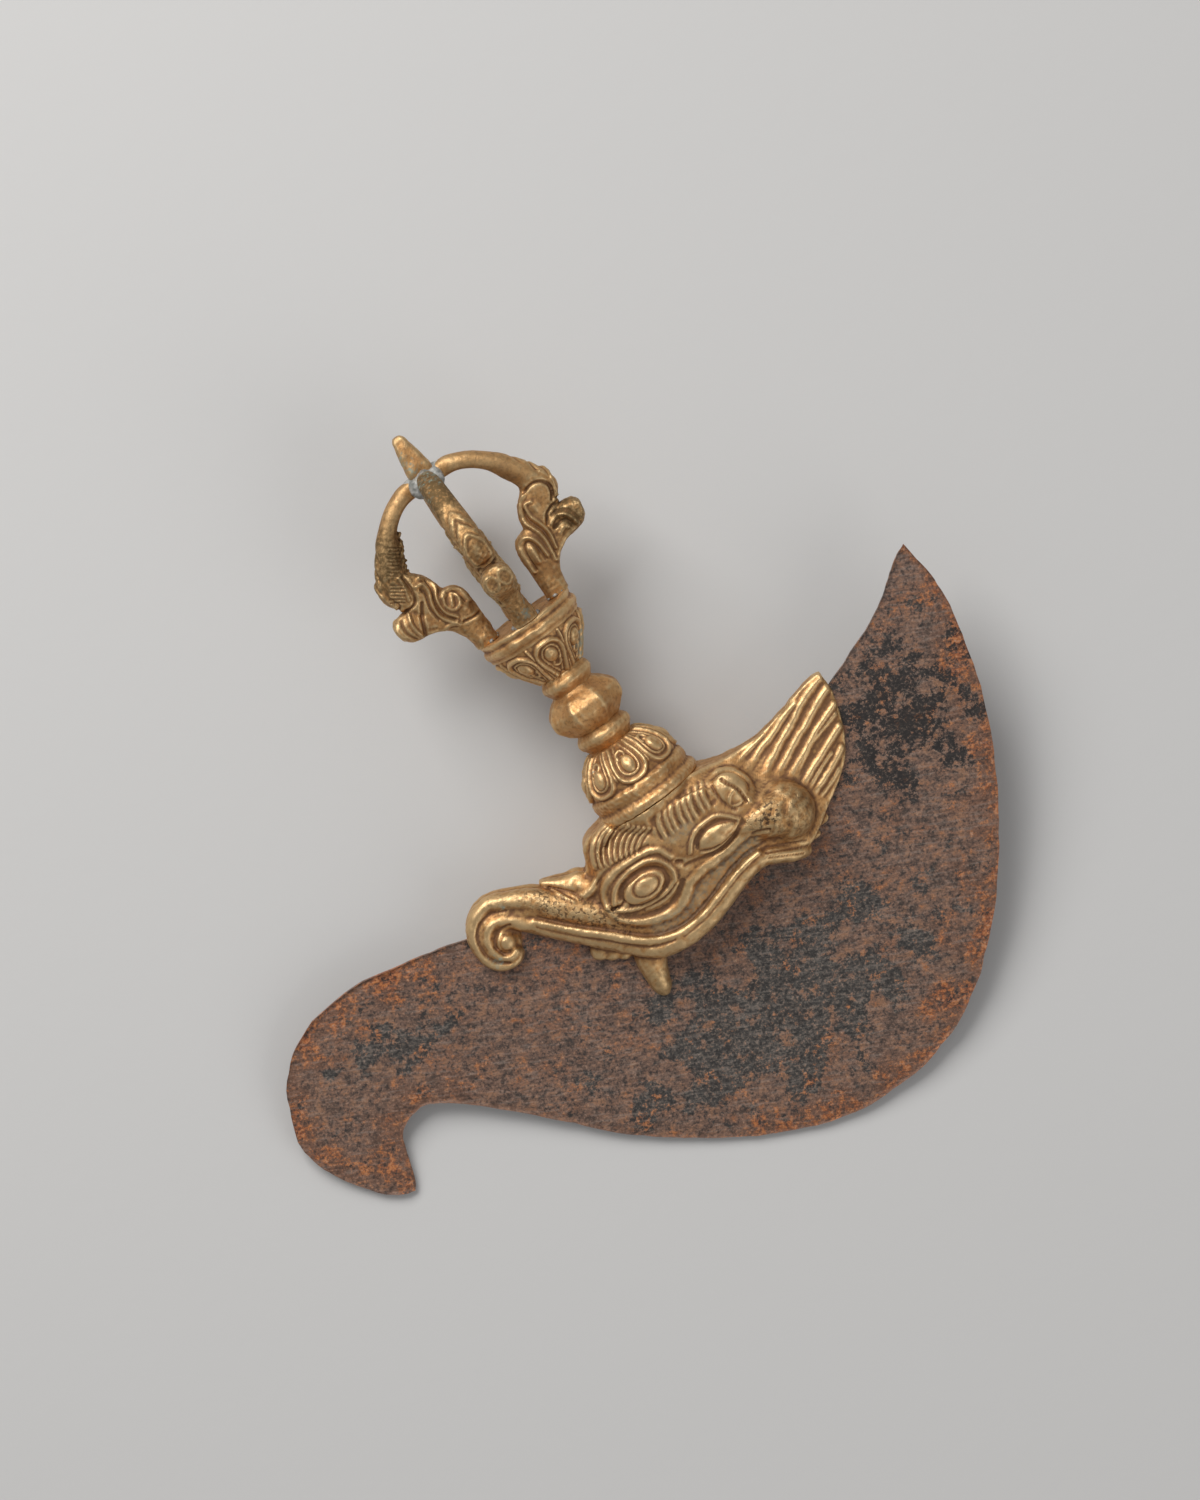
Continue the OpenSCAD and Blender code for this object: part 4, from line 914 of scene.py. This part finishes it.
bell_profile = [
    [0.02, 5], [0.02, 11], [0.2, 11.45], [0.8, 11.6], [1.5, 11.5], [2, 11.1], [2.35, 10.65],
    [2.8, 10.6], [3.2, 10.75], [4, 10.85], [4.9, 10.75], [5.3, 10.4], [5.5, 10.15], [5.8, 10.15],
    [6.8, 10.2], [8, 10.05], [9.7, 9.3], [11.3, 8.2], [12.5, 6.9], [13.3, 5.7], [13.9, 4.9],
    [13.9, 2]]
bell_petal = [
    ([[0, 6.1], [1.6, 6.35], [2.75, 7.3], [3.15, 8.6], [2.9, 10.4], [2.2, 12.2], [1.5, 13.8]],
     0.8, 0.72),
    ([[0, 7.4], [1.1, 7.65], [1.85, 8.5], [1.95, 9.7], [1.6, 11.2], [1, 12.6], [0.5, 13.8]],
     0.36, 0.3)]
bell_curl = [[-1.3, 10.9], [-1.1, 11.9], [-0.2, 12.3], [0.5, 11.8], [0.3, 11.1], [-0.3, 11.2]]
petalled("chased_bell", "lotus_bell", bell_profile, math.asin(0.9 / 10), bell_petal,
         (0.1, 9.5, 1.4, 1.8), bell_curl,
         (lambda y: ease(y, 7.4, 8.4), lambda y: ease(y, 5.5, 5.8) * ease(-y, -13.8, -13.2),
          lambda y: ease(y, 5.5, 5.8)), (61, 62, 60), [(-6.5, 12.2, 5.2, 0.8)])

# ---- Grip: collars and faceted bulb ----
# Three turned brass beads threaded over the tang, fused and smoothed from lathed profiles. The
# bulb was filed into eight facets above and below its middle, long since worn soft.


def bead(name, profile, seed, node, filed=None):
    """Round bead, worn uneven, filed by a function of its points if one is given."""
    points, faces = turned_body(profile)
    if filed is not None:
        points = relaxed(filed(points), faces, 6, 0.6)
    outer = ease(np.hypot(points[:, 0], points[:, 2]), 3.5, 4.5)
    lift = (0.09 * wobble(points, 4.4, seed) + 0.025 * wobble(points, 1.5, seed + 1)
            - 0.1 * np.clip(wobble(points, 0.8, seed + 2) - 1.8, 0, 1)) * outer
    cast(name, lifted(points, faces, lift), faces, node)


def facets(points):
    """Points of the bulb, drawn in to flat facets."""
    apothem = math.cos(SECTOR / 2)
    flat = np.minimum(apothem / np.cos(in_sector(points, math.radians(4))), 1.0)
    shrink = (flat * 0.9 + 0.1) / apothem ** 0.3
    return points * np.c_[shrink, np.ones(len(points)), shrink]


bead("worn_lower_collar", [
    [13.6, 2], [13.6, 4.6], [14.1, 4.9], [14.7, 5.2], [15.4, 5.75], [16.2, 6], [16.9, 5.9],
    [17.5, 5.4], [18.1, 4.9], [18.3, 4.5], [18.3, 2]], 81, "lower_collar")
bead("filed_bulb", [
    [17.9, 2], [17.9, 4.7], [18.4, 5.4], [19.3, 6.6], [20.8, 7.8], [21.6, 8.3], [22.6, 8.4],
    [23.6, 8.3], [24.4, 7.8], [25.8, 6.5], [26.7, 5.2], [27.3, 4.6], [27.3, 2]],
    84, "grip_bulb", facets)
bead("worn_upper_collar", [
    [26.9, 2], [26.9, 4.5], [27.5, 4.7], [28.2, 5.2], [29.1, 5.65], [29.9, 5.5], [30.5, 5.05],
    [31.3, 4.8], [31.3, 2]], 87, "upper_collar")

# ---- Lotus cup and rim ----
# The bell turned over: petals with their broad ends up, and a grooved rim that carries the prongs.
# Both are brass, turned and chased as the bell is, with green salts on the cup's right side.
cup_profile = [
    [30.9, 2], [30.9, 4.6], [31.4, 4.9], [32, 5.4], [33, 6.1], [34.4, 7.2], [36.3, 8.5], [38, 9.5],
    [39.4, 10], [40.2, 10.1], [40.2, 4]]
cup_petal = [
    ([[0, 39], [1.4, 38.8], [2.5, 37.9], [2.85, 36.6], [2.5, 35], [1.8, 33.3], [1.2, 31.6]],
     0.8, 0.72),
    ([[0, 38], [1, 37.8], [1.7, 36.9], [1.8, 35.9], [1.4, 34.5], [0.8, 33.1], [0.3, 32]],
     0.32, 0.28)]
cup_curl = [[1.2, 34.6], [1, 33.7], [0.2, 33.3], [-0.5, 33.7], [-0.3, 34.4]]
petalled("chased_cup", "lotus_cup", cup_profile, math.asin(1 / 9), cup_petal,
         (0, 36.1, 1.4, 1.6), cup_curl,
         (lambda y: 1, lambda y: ease(-y, -39.9, -39.4) * ease(-y, -40, -39.8),
          lambda y: ease(-y, -40, -39.8)), (63, 64, 65),
         [(6.7, 33.8, 2.2, 2.5), (5.8, 31.9, 2.6, 1.6), (7.8, 36, 2.6, 1.4)])
bead("worn_rim", [
    [39.8, 4], [39.8, 10], [40.2, 10.3], [40.6, 10.25], [41, 10.7], [41.6, 10.95], [42.2, 10.9],
    [42.7, 10.5], [42.95, 10.3], [43.3, 10.6], [43.8, 10.7], [44.2, 10.4], [44.3, 9.8],
    [44.1, 8.5], [44.1, 4]], 90, "rim_band")

# ---- Prongs ----
# Four castings in fire-worn brass, alike but for their flaws: a foot, a shoulder with an eye in
# spiral rings, a lobe with a curled knob outside, then a plain band bent to the spike. Each is
# drawn flat, as away from the middle, up, and across its thickness, and fused from straps.
PRONG_GRAIN = 0.2


def strap(rows, sides=28):
    """Flattened bar from rows of its inner edge, its outer edge and half its thickness."""
    rows = np.asarray(rows, float)
    middle, half = (rows[:, :2] + rows[:, 2:4]) / 2, (rows[:, 2:4] - rows[:, :2]) / 2
    side, up = (np.sign(part) * np.abs(part) ** 0.75 for part in circle(sides))
    points = np.zeros((len(rows), sides, 3))
    points[..., :2] = middle[:, None] + half[:, None] * side[None, :, None]
    points[..., 2] = rows[:, 4, None] * up
    return shell(points)


prong_forms = [
    strap(smooth_path([
        [6.0, -0.3, 11.0, -0.3, 2.7], [6.05, 1.5, 11.1, 1.2, 2.7], [6.1, 4, 11.6, 3.4, 2.3],
        [6.1, 6.5, 12.8, 5.4, 2.4], [6.1, 9.2, 14.3, 7, 2.6], [6.4, 11.6, 15.8, 9, 2.7],
        [7.7, 13.4, 17, 11.2, 2.7], [9.8, 14.1, 17.8, 13, 2.6], [10.3, 15.9, 18.8, 15, 2.6],
        [11.1, 17.8, 19.7, 17, 2.7], [12.6, 19.6, 20.2, 19.2, 2.7], [14, 20.9, 20.2, 20.9, 2.7],
        [13.9, 22.4, 19.8, 22.8, 2.55], [12.6, 24.8, 18.9, 24.6, 2.5],
        [11.8, 26.5, 17.3, 26.7, 2.4], [10.9, 28.1, 15.6, 28.9, 2.35],
        [9.2, 29.8, 13.2, 31.1, 2.3], [7.2, 31.1, 10.4, 33.3, 2.25],
        [5.4, 31.7, 7.6, 34.7, 2.15], [3.8, 31.8, 5.2, 35.5, 2], [1.9, 31.9, 2.1, 35.3, 1.8]], 3)),
    strap(smooth_path([
        [13, 6, 15, 12.4, 2.3], [16, 7.7, 16.8, 13.6, 2.5], [19, 8.1, 18.6, 14.5, 2.9],
        [20.8, 8.7, 20.8, 14.4, 3.1], [21.9, 10.2, 21.8, 14, 3],
        [22.3, 11.6, 22.2, 13.2, 2.4]], 3)),
    *blobs([[8.6, 9.6, 0, 2.4, 3.9, 2.95], [14.6, 17, 0, 3.3, 3.4, 2.95]]),
    rod([[19.4, 22.2, 0, 0.7, 2.3], [20, 20.4, 0, 0.85, 2.3], [19.9, 18.2, 0, 0.85, 2.3],
         [19, 16.2, 0, 0.8, 2.2]])]
flash_forms = [
    strap([[13.2, 20.6, 15.4, 22, 0.8], [12.8, 22.4, 15, 23.4, 0.7], [11.8, 24.2, 14, 25.6, 0.65],
           [10.9, 26, 12.8, 27.2, 0.6], [10.1, 27.9, 11.4, 28.4, 0.4]], 12),
    blob([13, 23.1, 0], [0.9, 0.8, 0.8])]

# Relief of a prong's flat sides, as seen on the right and on the left prong: height, half width
# and points of each line
right_lines = [
    (0.5, 0.6, [[6.9, 6.3], [7, 10.3], [7.6, 12.2], [9, 12.9], [10.2, 12.3], [10.9, 10.6],
        [11, 7.6]]),
    (-0.4, 0.42, [[7.6, 6.4], [7.7, 10], [8.3, 11.6], [9.1, 12], [9.9, 11.3], [10.3, 9.8],
        [10.4, 7.2]]),
    (0.5, 0.95, [[9, 7.6], [9.1, 9.2], [9.2, 10.3]]),
    (0.5, 0.58, [[13.9, 19.9], [12.6, 19], [11.5, 17.2], [11.2, 15.4], [11.6, 13.8], [12.2, 12.2],
        [12.4, 10.2], [12.1, 7.8], [11.8, 6]]),
    (-0.42, 0.42, [[12.3, 17.6], [11.9, 15.7], [12.4, 13.9], [13, 12.2], [13.1, 10.2],
        [12.8, 7.4]]),
    (0.45, 0.5, [[14.4, 18.2], [13.2, 18.3], [12.7, 17.2], [12.7, 15.7], [13.3, 14], [13.8, 12],
        [13.8, 10.2], [13.2, 7.8]]),
    (0.35, 0.6, [[12.2, 5.6], [14, 7.2], [16.4, 8.4], [18.6, 9]]),
    (-0.6, 0.5, [[14.2, 20.6], [16.6, 21], [18.4, 20.3], [19.2, 19], [19, 17.4], [18.2, 16]]),
    (-0.65, 0.55, [[14.6, 12.7], [15.8, 14.3], [17.8, 15], [19.4, 15]]),
    (-0.25, 0.5, [[15, 13.2], [16.6, 13.8], [18.6, 13.3], [19.9, 11.9], [20.3, 9.9]]),
    (0.5, 0.6, [[15.2, 12.3], [16.8, 12.9], [18.3, 12.4], [19.3, 11.1], [19.6, 9.4]]),
    (-0.55, 0.6, [[15.4, 11.2], [17, 11.6], [18.2, 10.9], [18.6, 9.3]]),
    (0.3, 0.6, [[15.6, 9.6], [16.8, 10.2], [17.6, 9.9]])]
left_lines = [
    (0.4, 0.5, [[11.3, 11.2], [10.9, 12.4], [9.8, 13], [8.7, 12.5], [8.2, 11.2], [8.6, 9.9],
        [9.7, 9.4], [10.8, 9.9], [11.3, 11.2]]),
    (0.45, 0.75, [[10.1, 10.5], [9.3, 11.8]]),
    (0.45, 0.58, [[11, 12.9], [10.2, 13.5], [9, 13.4], [7.6, 12.6], [6.9, 11.2], [6.6, 9.2]]),
    (-0.4, 0.45, [[9.6, 13], [8.3, 12.6], [7.6, 11.4], [7.4, 9.6]]),
    (-0.45, 0.5, [[5.8, 6.1], [8, 6], [10, 6.4]]),
    (0.5, 0.52, [[12.6, 18.6], [10.9, 17.6], [10.8, 15.6], [11.8, 13.6], [12.2, 11.7], [11.9, 9.8],
        [10.6, 8]]),
    (-0.42, 0.4, [[11.6, 17.4], [11.6, 15.6], [12.4, 13.6], [12.8, 11.8], [12.5, 9.8],
        [11.2, 7.8]]),
    (0.48, 0.52, [[14, 17.6], [12.6, 17.2], [12.4, 15.4], [13.1, 13.4], [13.5, 11.6], [13.3, 9.8],
        [12.4, 8.2], [11.2, 7.1]]),
    (-0.4, 0.4, [[13.4, 16.6], [13.2, 15.2], [13.9, 13.2], [14.2, 11.4], [13.9, 9.6]]),
    (0.4, 0.6, [[11, 6.4], [12.6, 7.4], [14.4, 7.2], [16.2, 8.1], [18, 8.4]]),
    (-0.55, 0.5, [[14.9, 20.6], [15, 17.8], [15.6, 15.4], [17.2, 14.6], [19.4, 15]]),
    (0.35, 0.5, [[15.6, 21], [15.9, 18.4], [16.5, 16.2]]),
    (-0.6, 0.6, [[14.8, 14.2], [16.2, 12.2], [17.2, 10], [17.9, 8.2]]),
    (0.4, 0.55, [[18.2, 14], [18.9, 12], [18.8, 10.2], [18.4, 8.8]]),
    (-0.35, 0.5, [[20.2, 13.9], [20.7, 12], [20.4, 10.2], [19.8, 8.8]])]


def prong(seed, forms):
    """Points and faces of one prong, drawn flat, with its chased lines and its own flaws."""
    points, faces = fused(forms, PRONG_GRAIN)
    points = relaxed(points, faces, 5, 0.6)
    r, y, t = points.T
    normal = facing(points, faces)
    lift = np.zeros(len(points))
    for lines, turned_to in ((right_lines, normal[:, 2]), (left_lines, -normal[:, 2])):
        side = ease(turned_to, 0.25, 0.7)
        for height, width, line in lines:
            gap, _ = from_path(r, y, smooth_path(line, 4))
            lift += side * height * ridge(gap, width * 1.1)
    # Crest of the plain band
    crest = smooth_path([[17.6, 21.6], [15.6, 25.3], [12.8, 28.5], [9.4, 31], [6, 32.9]])
    gap, _ = from_path(r, y, crest)
    lift += 0.3 * ease(-gap, -2.2, 0) * ease(y, 21.4, 22.4) * ease(np.abs(normal[:, 2]), 0.1, 0.6)
    # Seen from outside: two eyes on the knob, oval bead above it, creases where the band begins
    outward = ease(normal[:, 0], 0.2, 0.7) * (r > 13)
    knob_eye = np.hypot((np.abs(t) - 1.5) * 0.9, (y - 11.5) * 0.75)
    lift += outward * (0.25 * ridge(np.abs(knob_eye - 1.15), 0.55) - 0.12 * ridge(knob_eye, 0.8))
    bead_share = np.hypot(t / (2.8 - 0.3 * np.clip(y - 18.4, 0, 4.5)), (y - 18.4) / 4.2)
    lift += outward * (0.42 * ridge(np.abs(bead_share - 0.86) * 2.4, 0.55)
                       + 0.26 * ridge(bead_share, 0.6))
    for start, depth in ((22.9, 0.42), (25.6, 0.3)):
        gap, _ = from_path(np.abs(t), y, [[0, start + 2.6], [1.6, start + 0.9], [2.8, start - 1.6]])
        lift -= outward * depth * ridge(gap, 0.55)
    lift += (0.07 * wobble(points, 3.2, seed) * ease(-y, -24, -20)
             + 0.03 * wobble(points, 1.2, seed + 1))
    lift -= 0.16 * np.clip(wobble(points, 0.8, seed + 2) - 1.5, 0, 1) * ease(-y, -22, -20)
    points = points + normal * lift[:, None]
    plain = (ease(y, 21.6, 23) * (1 - 0.7 * outward * ease(-y, -28, -26)))[:, None]
    return points + plain * (relaxed(points, faces, 14, 0.7) - points), faces


def turned(points, angle):
    """Points drawn flat, stood at that angle round the stem, on the rim."""
    sine, cosine = math.sin(angle), math.cos(angle)
    r, y, t = points.T
    return np.c_[r * sine - t * cosine, y + FINIAL_Y, r * cosine + t * sine]


def set_prong(side, quarter, seed, forms, tarnish, spots=(), notches=None):
    """One prong of the finial, turned to its quarter.

    Tarnish is how much all over, then a place, its size, and how much more there. Places
    have their height over the rim.
    """
    points, faces = prong(seed, forms)
    if notches:
        points = notches(points, faces)
    points = turned(points, FINIAL_TURN + math.radians(90 * quarter))
    overall, x, y, z, size, more = tarnish
    gap = np.linalg.norm(points - [x, FINIAL_Y + y, z], axis=1) / size
    spots = [(x, FINIAL_Y + y, z, size) for x, y, z, size in spots]
    cast("cast_prong_" + side, points, faces, "prong_" + side, spots,
         dull=overall + more * ease(-gap, -1.3, -0.4))


STROKE_GAP = 0.7


def file_marks(points, faces):
    """Short cuts that the file left across the left prong, and its ragged inner edge."""
    r, y, t = points.T
    back = ease(-facing(points, faces)[:, 2], 0.3, 0.7)
    lift = np.zeros(len(points))
    for a, b, wide in (([16.4, 21.8], [12.6, 26.6], 1.1), ([18.8, 16.9], [16.4, 20.3], 1.3)):
        gap, run = from_path(r, y, [a, b])
        strokes = np.sin(run * math.hypot(b[0] - a[0], b[1] - a[1]) * 2 * math.pi / STROKE_GAP)
        lift -= ease(-gap, -wide - 0.4, -wide) * back * 0.18 * np.clip(strokes, -0.2, 1)
    gap, _ = from_path(r, y, smooth_path([[13.4, 21], [12.9, 22.8], [11.4, 25], [10.4, 27.6]], 4))
    lift += ease(-gap, -1.1, -0.4) * 0.24 * wobble(points, 1.1, 97)
    return lifted(points, faces, lift)


set_prong("front", 0, 101, prong_forms, (0.6, 0, 31, 9, 8, 0.9), [
    (1.5, 1.6, 11.2, 1.3), (2.6, 4.4, 10.6, 0.9), (1.2, 32.4, 6.6, 3.2), (-1.2, 29.6, 10.6, 2.4),
    (1.4, 33.4, 4.2, 3)])
set_prong("right", 1, 111, prong_forms, (0.32, 20, 12, 0, 5, 0.65))
set_prong("back", 2, 121, prong_forms, (0.5, 0, 31, -9, 8, 0.4))
set_prong("left", 3, 131, prong_forms + flash_forms, (0.32, -16.5, 25, 1.4, 8.5, 0.7), [
    (-16.8, 20.3, 2.6, 1.1), (-18.2, 17.4, 2.6, 1), (-19, 12.2, 2.9, 0.9)], file_marks)

# ---- Spike and solder ----
# Square brass spike in the middle. Grey soft solder holds the prongs' ends to it, and a little
# of it ran round their feet.
spike_rows = [
    [-0.9, 1.4], [2, 1.45], [34, 2.6], [36.5, 2.7], [41.4, 1.75], [43.2, 1.35], [43.9, 0.8]]
SPIKE_SIDES = 40
side, up = circle(SPIKE_SIDES)
square = (np.abs(side) ** 5 + np.abs(up) ** 5) ** -0.2
spike, spike_faces = turned_body(spike_rows, SPIKE_SIDES, square)
lift = 0.05 * wobble(spike, 2.6, 141) - 0.07 * np.clip(wobble(spike, 0.8, 142) - 1.3, 0, 1)
spike = lifted(spike, spike_faces, lift)
cast("square_spike", turned(spike[:, [2, 1, 0]] * [1, 1, -1], FINIAL_TURN), spike_faces,
     "centre_spike", [(-1.4, FINIAL_Y + 39, 1.8, 1.7), (-1, FINIAL_Y + 36.6, 2.4, 1.6)], dull=0.3)

# Soft solder: dull grey, mottled where it cooled
SOLDER_GRAIN = 0.16
tin, tree = material("grey_soft_solder")
place, _ = readings(tree)
cloud = noise(tree, place, 10 / 7, 5.0)
tone = ramp(tree, cloud, [(0.35, "#787973"), (0.5, "#9a9993"), (0.68, "#c2c0ba")])
surface(tree, tone, 0.5, 0.25, cloud, 0.4, 0.0002)


def solder(name, forms, seed, node, times=8):
    """Solder that ran over the forms and set, soft and a little lumpy."""
    points, faces = fused(forms, SOLDER_GRAIN)
    points = relaxed(points, faces, times, 0.7)
    lift = 0.07 * wobble(points, 1.8, seed) + 0.03 * wobble(points, 0.8, seed + 1)
    piece = make(name, lifted(points, faces, lift), faces.tolist(), tin)
    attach(piece, "root")
    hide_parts(node)


def finial_spot(r, y, t, angle):
    """Centre of a lump of solder, given as on a prong."""
    return turned(np.array([[r, y, t]]), FINIAL_TURN + angle)[0]


QUARTER = math.pi / 2
tip_lumps = [blob([0, FINIAL_Y + 34.2, 0], [3.3, 2.7, 3.3])]
for k in range(4):
    tip_lumps.append(blob(finial_spot(3.3, 34.2, 0, k * QUARTER), [1.5, 1.6, 1.5]))
    size = 2.1 if k == 3 else 1.6
    tip_lumps.append(blob(finial_spot(2.8, 33.1, 0, (k + 0.5) * QUARTER), [size, 2.3, size]))
solder("solder_at_tip", tip_lumps, 151, "tip_solder", 24)
foot_lumps = []
for k in range(4):
    for r, t, size in (
            (7.6, 2.5, 0.7), (7.9, -2.5, 0.65), (9.2, 2.3, 0.5), (6.2, 1.6, 0.6), (6.4, -1.2, 0.6)):
        size *= 0.65 if k else 1.0
        spot = finial_spot(r, 0.1, t, k * QUARTER)
        foot_lumps.append(blob(spot, [1.4 * size, size, 1.4 * size]))
solder("solder_at_feet", foot_lumps, 153, "foot_solder")
